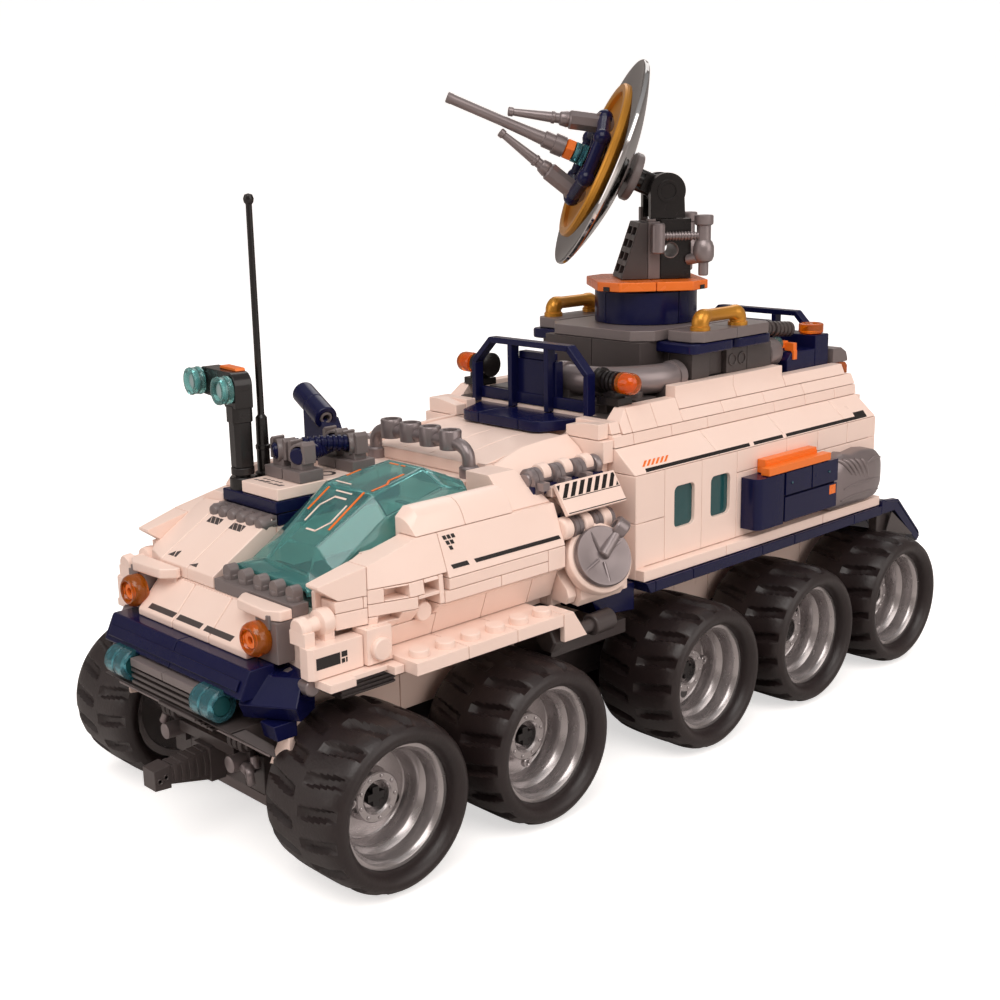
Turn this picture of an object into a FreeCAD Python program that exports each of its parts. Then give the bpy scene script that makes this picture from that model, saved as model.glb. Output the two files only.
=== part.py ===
import FreeCAD, Part
import math
import os

# Ten-wheeled planetary rover, a brick-built toy model. Millimetres, +Z up, -Y forward, +X to its left.
# Stations along the vehicle are written from the front axle; the parts are shifted at the end so that
# the origin lies on the floor in the middle of the model's box.

# ---- brick system ----
stud = 8.0              # pitch of the stud grid
plate = 3.2             # height of a plate
bar = 3.2               # round bar and rod diameter
skin = 1.6              # moulded shell thickness
pinHoleR = 2.45         # radius of a pin hole
pivotGap = 0.05         # radial clearance of a pin or axle in its hole
seatGap = 0.3           # clearance round loose and moving pieces

# ---- running gear ----
axleStations = (0.0, 48.0, 112.0, 160.0, 208.0)
tyreRadius = 20.8
tyreWidth = 28.0
tyreOuterX = 58.5       # outer face of the tyres
rimRadius = 15.0
rimSink = 3.8           # rim face inside the tyre's outer face
rimWall = 2.0
hubRadius = 6.0
hubSink = 12.5          # hub face inside the tyre's outer face
axleRadius = pinHoleR - pivotGap
axleZ = tyreRadius

# ---- levels and stations of the body ----
shelfTop = 51.5         # top of the cab's stud shelf
cockpitFloorZ = 62.3    # top of the cab's core in front of the deck
bodyTop = 73.9          # top of the cab's core
sideTop = 76.6          # upper edge of the cab's sides
deckLow = 77.1          # underside of the navy deck plate
roofStep = 81.6         # top of the bricks behind the canopy
skidTop = 38.5          # level where the grille meets the skid plate
lowWallTop = 48.3       # underside of the stud shelf
stripLow = 50.4         # underside of the white strip along the module
guardLow = 47.2         # underside of the navy strip and the mudguards
deckZ = 92.6            # flat roof of the module
courseTop = 98.6        # top of the white course on the roof
brickTop = 106.0        # top of the dark bricks on the roof
platesTop = 112.5       # top of the navy plates that carry the turret
gridY = 9.6             # station of a stud line
canopyMidX = 16.0       # the canopy sits two studs left of the middle
canopyHalf = 2 * stud
moduleHalf = 44.0
moduleFront = gridY + 11 * stud
moduleLength = 14 * stud
moduleRear = moduleFront + moduleLength
moduleLow = 53.6        # underside of the side panels
sideHeight = 8 * plate
roofHalf = 36.0
roofFront = moduleFront - stud
wall = stud / 2
frontTip = -31.0        # nose of the tow winch
rearTip = moduleRear + 24.4   # trailing edge of the rear mudguards
middleY = (frontTip + rearTip) / 2

os.makedirs("parts", exist_ok=True)


def vec(x, y, z):
    return FreeCAD.Vector(x, y, z)


def box(x0, x1, y0, y1, z0, z1):
    return Part.makeBox(x1 - x0, y1 - y0, z1 - z0, vec(x0, y0, z0))


def prismX(x0, x1, outline):
    """Outline of (y, z) points carried along X."""
    points = [vec(x0, y, z) for y, z in outline]
    face = Part.Face(Part.makePolygon(points + points[:1]))
    return face.extrude(vec(x1 - x0, 0, 0))


def prismY(y0, y1, outline):
    """Outline of (x, z) points carried along Y."""
    points = [vec(x, y0, z) for x, z in outline]
    face = Part.Face(Part.makePolygon(points + points[:1]))
    return face.extrude(vec(0, y1 - y0, 0))


def prismZ(z0, z1, outline):
    """Outline of (x, y) points carried along Z."""
    points = [vec(x, y, z0) for x, y in outline]
    face = Part.Face(Part.makePolygon(points + points[:1]))
    return face.extrude(vec(0, 0, z1 - z0))


def rod(radius, start, end):
    """Round bar between two points."""
    a = vec(*start)
    b = vec(*end)
    return Part.makeCylinder(radius, (b - a).Length, a, b - a)


def turned(radii, start, axis):
    """Solid of revolution from (distance along axis, radius) pairs."""
    a = vec(*start)
    d = vec(*axis).normalize()
    points = [vec(0, 0, radii[0][0])]
    points += [vec(r, 0, s) for s, r in radii]
    points += [vec(0, 0, radii[-1][0])]
    face = Part.Face(Part.makePolygon(points + points[:1]))
    solid = face.revolve(vec(0, 0, 0), vec(0, 0, 1), 360)
    solid.Placement = FreeCAD.Placement(a, FreeCAD.Rotation(vec(0, 0, 1), d))
    return solid


def bentBar(radius, points, bend):
    """Round bar along straight runs joined by arcs of one bend radius."""
    p = [vec(*q) for q in points]
    edges = []
    last = p[0]
    for i in range(1, len(p) - 1):
        back = (p[i - 1] - p[i]).normalize()
        ahead = (p[i + 1] - p[i]).normalize()
        half = back.getAngle(ahead) / 2
        reach = bend / math.tan(half)
        a = p[i] + back * reach
        b = p[i] + ahead * reach
        middle = (back + ahead).normalize()
        centre = p[i] + middle * (bend / math.sin(half))
        edges.append(Part.makeLine(last, a))
        edges.append(Part.Arc(a, centre - middle * bend, b).toShape())
        last = b
    edges.append(Part.makeLine(last, p[-1]))
    path = Part.Wire(edges)
    ring = Part.Wire([Part.Circle(p[0], p[1] - p[0], radius).toShape()])
    return path.makePipeShell([ring], True, True)


def mirrored(shape):
    """The same piece on the other side of the vehicle."""
    return shape.mirror(vec(0, 0, 0), vec(1, 0, 0))


def pair(shape):
    return [shape, mirrored(shape)]


def joined(first, *others):
    return first.multiFuse(list(others)).removeSplitter()


def save(node, shapes):
    solids = []
    for shape in shapes:
        solids += shape.Solids
    whole = Part.makeCompound(solids) if len(solids) > 1 else solids[0]
    whole.translate(vec(0, -middleY, 0))
    whole.exportStep("parts/" + node + ".step")
    print(node, len(solids), round(sum(s.Volume for s in solids)))


# ---- axles, rims and tyres ----
def rim(side):
    """Deep dished rim with its hub, turned about the axle, open to the outside."""
    face = tyreOuterX - rimSink
    hubFace = tyreOuterX - hubSink
    inner = tyreOuterX - tyreWidth + rimSink
    web = hubFace - 4.0
    profile = (
        (inner, axleRadius),
        (inner, rimRadius - rimWall),
        (inner, rimRadius),
        (face, rimRadius),
        (face, rimRadius - rimWall),
        (web + 6.0, rimRadius - rimWall - 0.6),
        (web + 5.0, rimRadius - rimWall - 2.0),
        (web, rimRadius - rimWall - 2.6),
        (web, hubRadius),
        (hubFace, hubRadius),
        (hubFace, axleRadius),
    )
    points = [vec(x * side, 0, r) for x, r in profile]
    shape = Part.Face(Part.makePolygon(points + points[:1]))
    return shape.revolve(vec(0, 0, 0), vec(1, 0, 0), 360)


def tyre(side):
    """Balloon tyre with rounded shoulders, seated on the rim."""
    shoulder = 5.8
    start = vec(tyreOuterX - tyreWidth, 0, 0) if side > 0 else vec(-tyreOuterX, 0, 0)
    blank = Part.makeCylinder(tyreRadius, tyreWidth, start, vec(1, 0, 0))
    rounded = [e for e in blank.Edges if len(e.Vertexes) == 1]
    bore = Part.makeCylinder(rimRadius, tyreWidth, start, vec(1, 0, 0))
    return blank.makeFillet(shoulder, rounded).cut(bore)


axleEnd = tyreOuterX - hubSink - 0.5
for number, station in enumerate(axleStations, 1):
    place = vec(0, station, axleZ)
    shaft = rod(axleRadius, (-axleEnd, 0, 0), (axleEnd, 0, 0))
    wheelset = joined(shaft, rim(1), rim(-1))
    wheelset.translate(place)
    save("wheelset_%d" % number, [wheelset])
    tyres = [tyre(1), tyre(-1)]
    for one in tyres:
        one.translate(place)
    save("tyres_%d" % number, tyres)

# ---- chassis ----
railOuter = 20.0
railInner = 12.0
railLow = axleZ - stud / 2 - 1.0
railTop = axleZ + stud / 2 + 1.0
frameFront = -12.0
frameRear = axleStations[-1] + 12.0
frame = box(-railOuter, railOuter, frameFront, frameRear, railTop, railTop + plate)
for side in (-1, 1):
    inner = min(side * railInner, side * railOuter)
    outer = max(side * railInner, side * railOuter)
    frame = frame.fuse(box(inner, outer, frameFront, frameRear, railLow, railTop))
# cross members stand between the axles
crossStations = (-9.0, 24.0, 80.0, 136.0, 184.0, 217.0)
crossHalf = 3.0
for station in crossStations:
    low = max(station - crossHalf, frameFront)
    high = min(station + crossHalf, frameRear)
    frame = frame.fuse(box(-railInner, railInner, low, high, railLow, railTop))
for station in axleStations:
    frame = frame.cut(rod(pinHoleR, (-railOuter - 1, station, axleZ), (railOuter + 1, station, axleZ)))
frame = frame.removeSplitter()
ribbed = box(28.0, 40.0, -3.0, 13.0, 43.0, lowWallTop)
save("chassis_frame", [frame] + pair(ribbed))

bellyLow = 6.2
bellyTop = bellyLow + plate
bellyHalf = 18.0
belly = [box(-bellyHalf, bellyHalf, -4, 56, bellyLow, bellyTop),
         box(-bellyHalf, bellyHalf, 104, 216, bellyLow, bellyTop)]
posts = []
for plateShape, stations in ((belly[0], (24.0,)), (belly[1], (136.0, 184.0))):
    shape = plateShape
    for station in stations:
        shape = shape.fuse(box(-railOuter, railOuter, station - 4, station + 4, bellyTop, railLow))
    posts.append(shape.removeSplitter())
save("belly_plate", posts)

# white lower walls behind the wheels, cab pair and module pair
wallOut = 28.0
lowWallThick = 4.0
lowWalls = []
for y0, y1, top in ((-8.0, 64.0, lowWallTop), (moduleFront, moduleRear, moduleLow - 2 * plate)):
    shape = box(-wallOut, wallOut, y0, y1, railTop + plate, top)
    shape = shape.cut(box(-wallOut + lowWallThick, wallOut - lowWallThick, y0 + 4, y1 - 4, railTop, top - plate))
    lowWalls.append(shape)
save("lower_walls", lowWalls)

# ---- tow gear ----
winchZ = 20.3
winch = prismX(-3.2, 3.2, (
    (frontTip, winchZ - 3.0), (frontTip, winchZ + 2.6), (-20.0, winchZ + 3.6),
    (-13.0, winchZ + 4.6), (frameFront, winchZ + 4.6), (frameFront, winchZ - 4.6),
    (-16.0, winchZ - 5.0)))
towX = 14.4
towParts = [winch]
for side in (-1, 1):
    tube = rod(2.0, (side * towX, -16.2, 24.0), (side * towX, frameFront, 24.0))
    hose = rod(2.4, (side * towX, -15.0, 29.0), (side * towX, frameFront, 29.0))
    mount = box(side * towX - 2.6, side * towX + 2.6, frameFront - 1.5, frameFront, 21.0, 31.0)
    towParts.append(joined(tube, hose, mount))
save("tow_gear", towParts)

# ---- bumper, grille and skid plate ----
bumperHalf = 31.0
bumperTop = 52.4
bumperLow = 45.6
noseFront = -14.0
lampX = 19.3
lampY = -24.0
lampZ = 43.0
lampRadius = 3.9
lampHalf = 4.4
frontLamps = []
for side in (-1, 1):
    x = side * lampX
    frontLamps.append(rod(lampRadius, (x - lampHalf, lampY, lampZ), (x + lampHalf, lampY, lampZ)))
bumper = prismX(-bumperHalf, bumperHalf, (
    (noseFront, bumperLow), (-23.6, bumperLow), (-20.6, bumperTop), (noseFront, bumperTop)))
bumperEnd = prismX(0, 14.0, (
    (-12.0, 40.5), (-20.5, 40.5), (-23.0, 44.5), (-18.5, 50.0), (-12.0, 51.5)))
bumperEnd.rotate(vec(0, -22, 0), vec(0, 0, 1), 32)
bumperEnd.translate(vec(bumperHalf - 3.5, 0, 0))
bumper = joined(bumper, bumperEnd, mirrored(bumperEnd))
grilleHalf = lampX - lampHalf - seatGap
grille = box(-grilleHalf, grilleHalf, -25.6, noseFront, skidTop, bumperLow)
skid = prismX(-36.0, 36.0, ((-18.6, 32.5), (-25.6, skidTop), (-21.5, skidTop), (-17.9, 34.8)))
skidLow = 32.5
skid = skid.fuse(prismX(-28.0, 28.0, (
    (-18.6, skidLow), (-25.6, skidTop), (noseFront, skidTop), (noseFront, skidLow))))
for side in (-1, 1):
    skid = skid.cut(prismY(-30, -10, (
        (side * 40, 32.0), (side * 36, 32.4), (side * 26, 39.0), (side * 40, 39.0))))
grille = joined(grille, skid)
for lamp in frontLamps:
    bumper = bumper.cut(lamp)
    grille = grille.cut(lamp)
save("front_lamps", frontLamps)
save("grille_panel", [grille])

# ---- hood over the nose ----
cabFront = -9.7
hoodHalf = 24.0
capLow = 62.4            # underside of the caps over the head lamps
hoodLine = ((-17.2, bumperTop), (-17.2, 54.2), (cabFront, 62.3), (cabFront, 58.0), (noseFront, bumperTop))
hood = prismX(-hoodHalf, hoodHalf, hoodLine)
capIn = 15.5
capOutline = ((capIn, -12.6), (hoodHalf + 8.6, -15.0), (hoodHalf + 8.6, cabFront), (capIn, cabFront))
cap = prismZ(capLow, capLow + 2.6, capOutline)
capFoot = prismZ(capLow - 2.4, capLow, (
    (capIn, -11.0), (hoodHalf, -11.0), (hoodHalf, cabFront), (capIn, cabFront)))
hood = joined(hood, cap, capFoot, mirrored(cap), mirrored(capFoot))
save("hood", [hood])

lampMidX = hoodHalf + 2.6
bracket = box(hoodHalf, hoodHalf + 8.4, -14.6, cabFront, bumperTop, capLow)
toothedBar = box(0.0, 32.0, cabFront, -4.9, cockpitFloorZ, cockpitFloorZ + plate)
for k in range(5):
    x = bar + 2 * bar * k
    toothedBar = toothedBar.fuse(rod(1.6, (x, -7.4, 64.0), (x, -7.4, 69.0)))
save("nose_brackets", pair(bracket) + [toothedBar.removeSplitter()])

# ---- amber lamps: head lamps, roof beacons, tail lamps ----
beaconX = 29.2
beaconY = 104.0
beaconZ = 101.5
beaconFoot = 95.4       # top of the white parapet
tailLampX = 26.0
amber = []
posts = []
for side in (-1, 1):
    head = rod(4.1, (side * lampMidX, -18.6, 58.0), (side * lampMidX, -14.6, 58.0))
    bulb = turned(((0, 2.2), (1.0, 3.0), (4.0, 3.0), (5.6, 2.0), (6.4, 0.8)),
                  (side * beaconX, beaconY, beaconZ), (side, 0, 0))
    tailLamp = box(side * tailLampX - 4, side * tailLampX + 4, moduleRear, moduleRear + 5, 88.0, 92.6)
    amber += [head, bulb, tailLamp]
    posts.append(joined(box(side * 27 - 4, side * 27 + 4, beaconY - 3, beaconY + 3, beaconFoot, courseTop),
                        rod(2.2, (side * 27, beaconY, courseTop), (side * 27, beaconY, 104.4))))
amber = [one.cut(posts[0]).cut(posts[1]).cut(hood) for one in amber]
save("amber_lamps", amber)
save("beacon_posts", posts)

# ---- cab core round the open cockpit ----
sideIn = 34.0
cabRear = roofFront
floorTop = shelfTop + plate
cab = prismX(-sideIn, sideIn, (
    (cabFront, lowWallTop), (cabFront, cockpitFloorZ), (gridY, cockpitFloorZ), (gridY, bodyTop),
    (cabRear, bodyTop), (cabRear, lowWallTop)))
cockpitX0 = canopyMidX - canopyHalf + skin
cockpitX1 = canopyMidX + canopyHalf - skin
cockpitRear = 46.0
cab = cab.cut(box(cockpitX0, cockpitX1, -2.0, cockpitRear, floorTop, deckLow + 20))
cab = cab.cut(prismX(-seatGap, 2 * canopyHalf + seatGap, (
    (-10, 66), (4, 66), (20, 74.6), (cockpitRear, 80), (cockpitRear, 95), (-10, 95))))
nose = prismX(-hoodHalf, hoodHalf, (
    (noseFront, skidTop), (noseFront, bumperTop), (cabFront, 58.0), (cabFront, skidTop)))
nose = nose.fuse(box(-hoodHalf, hoodHalf, cabFront, -8.0, skidTop, lowWallTop))
seatPan = box(canopyMidX - stud, canopyMidX + stud, 26.0, 40.0, floorTop, floorTop + 2 * plate)
seatBack = box(canopyMidX - stud, canopyMidX + stud, 38.0, 42.0, floorTop, 76.0)
core = joined(cab, nose, seatPan, seatBack)
save("cab_core", [core])

# ---- cab sides: plan, section and side outline cut one from another ----
sideFront = -7.3
wallFront = 67.0        # the side walls of the middle section start here
sidePlan = prismZ(40, 90, (
    (sideIn, sideFront), (38.5, sideFront), (40.5, 4.0), (44.0, 16.0), (44.0, wallFront), (sideIn, wallFront)))
sideSection = prismY(-20, 90, (
    (sideIn, shelfTop), (38.5, shelfTop), (41.0, 58.5), (44.0, 60.2), (44.0, 66.0),
    (40.0, sideTop), (sideIn, sideTop)))
sideView = prismX(30, 50, (
    (sideFront, 70.5), (20.4, sideTop), (wallFront, sideTop), (wallFront, shelfTop),
    (-3.0, shelfTop), (-3.6, 60.2), (-2.2, 66.2)))
cabSide = sidePlan.common(sideSection).common(sideView)
bevelFront = 20.4
bevelRear = 52.2
shoulderRear = 62.0
bevelTop = sideTop + 6.0
shoulderTop = 84.8
shoulderIn = 22.5
bevel = prismY(bevelFront, bevelRear, (
    (sideIn, sideTop), (40.0, sideTop), (39.6, sideTop + 2.0), (35.5, bevelTop), (sideIn, bevelTop)))
shoulder = prismY(bevelRear, shoulderRear, (
    (shoulderIn, bodyTop), (sideIn, bodyTop), (sideIn, sideTop), (39, sideTop), (31, shoulderTop),
    (shoulderIn, shoulderTop)))
innerBevel = box(canopyHalf * 2 + seatGap, sideIn, bevelFront, bevelRear, bodyTop, 80.0)
leftSide = joined(cabSide, bevel, shoulder, innerBevel)
rightSide = mirrored(joined(cabSide, bevel, shoulder))
save("cab_sides", [leftSide, rightSide])

# nose wedges on both sides of the canopy, and the white tile on the deck
deckTopZ = deckLow + plate
noseHalf = 32.0
noseWedge = prismX(-noseHalf, -seatGap, (
    (cabFront, cockpitFloorZ), (cabFront, cockpitFloorZ + plate), (gridY, deckLow), (gridY, cockpitFloorZ)))
noseOuter = prismX(-38.0, -noseHalf, (
    (-2.0, cockpitFloorZ), (-2.0, 67.2), (gridY, 75.0), (gridY, cockpitFloorZ)))
noseEdge = box(-sideIn, -24.0, gridY, bevelFront, bodyTop, 79.0)
noseLeft = prismX(2 * canopyHalf + seatGap, sideIn, (
    (-4.6, cockpitFloorZ), (-4.6, 68.0), (gridY, bodyTop), (gridY, cockpitFloorZ)))
deckRear = gridY + 5 * stud
tile = box(-2 * stud, -seatGap, gridY + 0.6, deckRear, deckTopZ, deckTopZ + plate)
noseRight = joined(noseWedge, noseOuter, noseEdge).cut(rightSide)
save("nose_wedges", [noseRight, noseLeft])
save("deck_tile", [tile])

# ---- stud shelves, skirts and flaps ----
shelf = box(sideIn, 52.0, gridY, gridY + 6 * stud, lowWallTop, shelfTop)
shelf = shelf.fuse(box(40.0, 44.5, -9.0, gridY, lowWallTop, 50.5))
for k in range(6):
    y = gridY + stud * (k + 0.5)
    shelf = shelf.fuse(Part.makeCylinder(2.4, 1.8, vec(48, y, shelfTop)))
skirtTail = prismX(44.0, 52.0, ((57.6, 44.0), (57.6, shelfTop), (61.0, shelfTop), (66.0, 44.0)))
flap = box(38.0, 42.0, -13.0, 6.0, 50.5, 58.0).fuse(box(sideIn, 38.0, cabFront, -4.0, 50.5, 58.0))
shelf = joined(shelf, skirtTail, flap).cut(cabSide)
save("skirt_shelves", pair(shelf))
save("bumper_bar", [bumper.cut(core).cut(shelf).cut(mirrored(shelf))])

# ---- navy deck on the right of the canopy and the step behind it ----
deck = box(-3 * stud, -seatGap, gridY, deckRear, deckLow, deckTopZ)
deckFoot = box(-3 * stud, -seatGap, gridY, deckRear, bodyTop, deckLow)
deck = deck.fuse(deckFoot).removeSplitter()

# ---- mast, whip antenna, launcher, hoses ----
mastX = -20.4
mastY = 12.8
mastPinR = 2.0
mastBase = Part.makeCylinder(3.6, plate, vec(mastX, mastY, deckTopZ))
mastBase = mastBase.cut(Part.makeCylinder(mastPinR + pivotGap, plate + 2, vec(mastX, mastY, deckTopZ - 1)))
headLow = 103.4
headHigh = 110.4
lensRadius = 4.0
mastColumn = joined(
    Part.makeCylinder(mastPinR, plate + 1.0, vec(mastX, mastY, deckTopZ + 0.05)),
    Part.makeCylinder(2.7, 20.0, vec(mastX, mastY, deckTopZ + plate + 0.1)),
    box(mastX - 3.6, mastX + 3.6, mastY - 3.6, mastY + 3.6, 102.0, headHigh),
    box(mastX - 10.0, mastX + 3.6, mastY - 3.6, mastY + 3.0, headLow, headHigh))
save("mast_column", [mastColumn])
lenses = []
for x, y, z in ((mastX + 3.6, 4.6, 106.7), (mastX - 6.2, 4.6, 107.4)):
    lenses.append(rod(lensRadius, (x, y, z), (x, mastY - 3.6, z)))
save("mast_lenses", lenses)

whipY = 20.4
whipProfile = (
    (0, 2.4), (3.2, 2.4), (3.2, 1.6), (17.0, 1.6), (17.5, 0.8), (72.0, 0.8), (72.6, 1.4), (74.2, 1.4))
whip = turned(whipProfile, (mastX, whipY, deckTopZ), (0, 0, 1))
save("whip_antenna", [whip])

launcherRadius = 3.2
launcherEnds = ((-18.0, 39.4, 95.0), (-32.7, 42.7, 100.2))
launcher = rod(launcherRadius, *launcherEnds)
launcherFoot = prismY(37.0, 45.0, (
    (-23.8, deckTopZ), (-12.0, deckTopZ), (-17.5, 93.5), (-25.5, 96.4), (-25.5, 88.0)))
hoseRadius = 2.6
hoseZ = 90.4
hoseEnds = (((-12.0, 21.6), (-4.5, 37.6)), ((-4.5, 21.6), (-12.0, 37.6)))
hoses = joined(*[rod(hoseRadius, (a[0], a[1], hoseZ), (b[0], b[1], hoseZ)) for a, b in hoseEnds])
save("deck_tubes", [joined(launcher, launcherFoot).cut(tile), hoses])
clips = [mastBase]
for x in (-12.0, -4.5):
    for y in (21.6, 37.6):
        clip = box(x - 3.2, x + 3.2, y - 3.6, y + 3.6, deckTopZ + plate, 89.0)
        clips.append(clip.cut(hoses).cut(launcherFoot))
save("deck_clips", clips)

# ---- rear of the cab: roof, arch pipe, side rollers, walls, signs ----
roofSlabHalf = 22.0
roofLow = box(-sideIn, sideIn, shoulderRear, cabRear, bodyTop, 78.0)
roofSlab = box(-roofSlabHalf, roofSlabHalf, deckRear, cabRear, bodyTop, roofStep)
slopeTop = 88.0
roofSlope = prismX(-roofSlabHalf, roofSlabHalf, (
    (60.0, roofStep), (60.0, shoulderTop), (63.0, 85.6), (84.0, slopeTop),
    (cabRear, slopeTop), (cabRear, roofStep)))
save("cab_roof", [joined(roofLow, roofSlab, roofSlope)])
archX = 19.0
archY = 56.8
archTop = 90.0
pipeBend = 6.0
arch = bentBar(2.5, (
    (-archX, archY, roofStep), (-archX, archY, archTop), (archX, archY, archTop), (archX, archY, roofStep)), pipeBend)
pipeZ = 99.8
pipe = bentBar(4.2, (
    (4.0, 108.0, pipeZ), (17.0, 109.0, pipeZ), (25.5, 122.0, pipeZ), (25.5, 132.8, pipeZ)), pipeBend)
pipeFoot = box(4.0, 9.0, 105.0, 111.0, 92.6, pipeZ - 2.0)
save("silver_pipes", [arch, joined(pipe, pipeFoot)])
navyStep = prismZ(slopeTop, slopeTop + plate, (
    (-16, 82.0), (16, 82.0), (roofSlabHalf, cabRear), (-roofSlabHalf, cabRear)))
save("deck_plates", [deck, navyStep])

rollers = []
rollerRadius = 3.0
for x, z, y0, y1 in ((sideIn, 82.0, shoulderRear, cabRear), (41.5, 69.5, wallFront, 86.0)):
    rollers += pair(rod(rollerRadius, (x, y0, z), (x, y1, z)))
save("side_rollers", rollers)
wallOuter = 38.5
sideWall = box(sideIn, wallOuter, wallFront, cabRear, lowWallTop, sideTop)
sideBracket = prismX(wallOuter, 46.0, (
    (68.3, 48.9), (wallFront, 60.4), (68.0, 65.0), (86.0, 65.0), (89.0, 51.4)))
sign = prismY(wallFront, cabRear, (
    (36.0, sideTop), (36.0, 79.8), (39.8, 81.2), (44.6, 73.8), (42.8, 73.0), (wallOuter, sideTop)))
discAxis = (0.86, -0.25, 0.44)
discRadius = 8.0
disc = turned(((0, 2.5), (5.0, 2.5), (5.0, discRadius), (7.6, discRadius)), (43.5, 77.0, 59.5), discAxis)
rearWall = joined(sideWall, sideBracket, sign).cut(disc)
for one in rollers:
    rearWall = rearWall.cut(one)
save("side_walls", pair(rearWall))
save("side_discs", pair(disc))

# ---- module: side panels, ends and roof round a hollow hold ----
shoulderZ = 85.6        # where the slanted shoulder meets the upright side of the roof
parapetZ = 95.4
sideInnerTop = 78.6
sidePanel = prismY(moduleFront, moduleRear, (
    (moduleHalf - wall, moduleLow), (moduleHalf, moduleLow), (moduleHalf, moduleLow + sideHeight),
    (roofHalf + 0.5, shoulderZ), (roofHalf, 88.8), (roofHalf - 3, parapetZ), (roofHalf - 3 - wall, parapetZ),
    (roofHalf - wall, shoulderZ), (moduleHalf - wall, sideInnerTop)))
winLow = 61.8
winHigh = 73.6
windows = ((109.7, 118.5), (125.7, 134.5))
glass = []
for y0, y1 in windows:
    sidePanel = sidePanel.cut(box(0, 60, y0, y1, winLow, winHigh))
    glass += pair(box(moduleHalf - wall, moduleHalf - wall + 1.2, y0, y1, winLow, winHigh))
save("module_sides", pair(sidePanel))
save("module_glass", glass)
frontShape = (
    (-moduleHalf, stripLow), (moduleHalf, stripLow), (moduleHalf, 79.0), (roofHalf + 0.5, shoulderZ),
    (roofHalf - 1.8, deckZ), (1.8 - roofHalf, deckZ), (-roofHalf - 0.5, shoulderZ), (-moduleHalf, 79.0))
frontWall = prismY(moduleFront - wall, moduleFront, frontShape)
rearWallM = prismY(moduleRear - wall, moduleRear, (
    (-moduleHalf + wall, stripLow), (moduleHalf - wall, stripLow), (moduleHalf - wall, sideInnerTop),
    (roofHalf - wall, shoulderZ), (30.8, deckZ - plate), (-30.8, deckZ - plate), (wall - roofHalf, shoulderZ),
    (-moduleHalf + wall, sideInnerTop)))
holdFloor = box(-moduleHalf + wall, moduleHalf - wall, moduleFront, moduleRear - wall, stripLow, moduleLow)
roofSolid = box(-roofHalf + 1.8, roofHalf - 1.8, cabRear, moduleFront - wall, roofStep, deckZ)
rearBlock = box(-roofHalf, roofHalf, moduleRear, moduleRear + 3.4, 52.0, 85.0)
save("module_ends", [joined(frontWall, roofSolid, holdFloor, rearWallM, rearBlock)])
roofPlate = box(-29.8, 29.8, moduleFront, moduleRear, deckZ - plate, deckZ)
save("module_roof", [roofPlate])

whiteStrip = box(moduleHalf - wall, moduleHalf + 3.0, moduleFront, moduleRear, stripLow, moduleLow)
navyStrip = box(moduleHalf - wall, moduleHalf + 4.0, moduleFront, moduleRear, guardLow, stripLow)
save("body_strips", pair(joined(whiteStrip, navyStrip)))

crateRear = 179.4
crateTop = 71.3
crate = box(moduleHalf, moduleHalf + 6.5, crateRear - 5 * stud, crateRear, 56.0, crateTop)
save("side_crates", pair(crate))
podDepth = 6.0
podTop = 71.0
pod = prismZ(moduleLow, podTop, (
    (moduleHalf, crateRear), (moduleHalf + podDepth, crateRear), (moduleHalf + podDepth, moduleRear - 4.6),
    (moduleHalf + podDepth / 2, moduleRear), (moduleHalf, moduleRear)))
save("side_pods", pair(pod))
guard = prismX(-moduleHalf - 4.0, moduleHalf + 4.0, (
    (moduleRear, guardLow), (moduleRear, 52.0), (moduleRear + 9.4, 50.0), (rearTip, 35.7), (rearTip - 2, 33.5),
    (moduleRear + 6.9, guardLow)))
save("rear_guard", [guard])

# ---- roof ----
railFoot = 24.5
railings = []
for y in (moduleFront + 1.3, moduleRear - 3.6):
    railings.append(bentBar(bar / 2, (
        (-railFoot, y, deckZ), (-railFoot - 0.6, y, 105.0), (-15.7, y, 110.5), (15.7, y, 110.5),
        (railFoot + 0.6, y, 105.0), (railFoot, y, deckZ)), 3.0))
save("railings", railings)
courseHalf = 33.0
courseFront = 123.0
courseRear = 174.0
narrowHalf = 19.0       # the front step of the dark bricks and of the navy plates over them
course = box(-29.0, 29.0, courseFront, courseRear, deckZ, parapetZ)
course = course.fuse(box(-courseHalf, courseHalf, courseFront, courseRear, parapetZ, courseTop))
course = course.fuse(box(-30.0, 30.0, 134.0, 172.0, courseTop, brickTop))
course = course.fuse(box(-narrowHalf, narrowHalf, 124.0, 134.0, courseTop, brickTop))
course = course.cut(box(narrowHalf, 31.0, 122.0, 133.0, parapetZ, 99.0)).removeSplitter()
save("roof_course", [course])
carrierLow = platesTop - plate
widePlates = box(-courseHalf, courseHalf, 133.0, 169.0, brickTop, platesTop)
carrier = box(-20.0, 20.0, 124.0, 170.0, carrierLow, platesTop)
frontStep = box(-narrowHalf, narrowHalf, 124.0, 133.0, brickTop, carrierLow)
save("roof_plates", [joined(widePlates, carrier, frontStep)])
handles = []
handleTop = platesTop + 4.1
for side in (-1, 1):
    x = side * 29.3
    handles.append(bentBar(2.2, (
        (x, 138.0, platesTop), (x, 138.0, handleTop), (x, 156.0, handleTop), (x, 156.0, platesTop)), 3.0))
save("gold_handles", handles)
drumY = 148.5
drumTop = 122.1
spigotR = 4.0
drum = Part.makeCylinder(15.5, drumTop - platesTop, vec(0, drumY, platesTop))
drum = drum.cut(Part.makeCylinder(spigotR, 12, vec(0, drumY, platesTop)))
save("drum", [drum])
rearBoxes = []
boxWidth = 14.0
for side in (-1, 1):
    x0 = 15.0 if side > 0 else -15.0 - boxWidth
    rearBoxes.append(joined(box(x0, x0 + boxWidth, moduleRear - 27.6, moduleRear - 10.6, deckZ, 101.0),
                            box(x0, x0 + boxWidth, moduleRear - 10.6, moduleRear - 6.6, deckZ, 105.0)))
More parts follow.
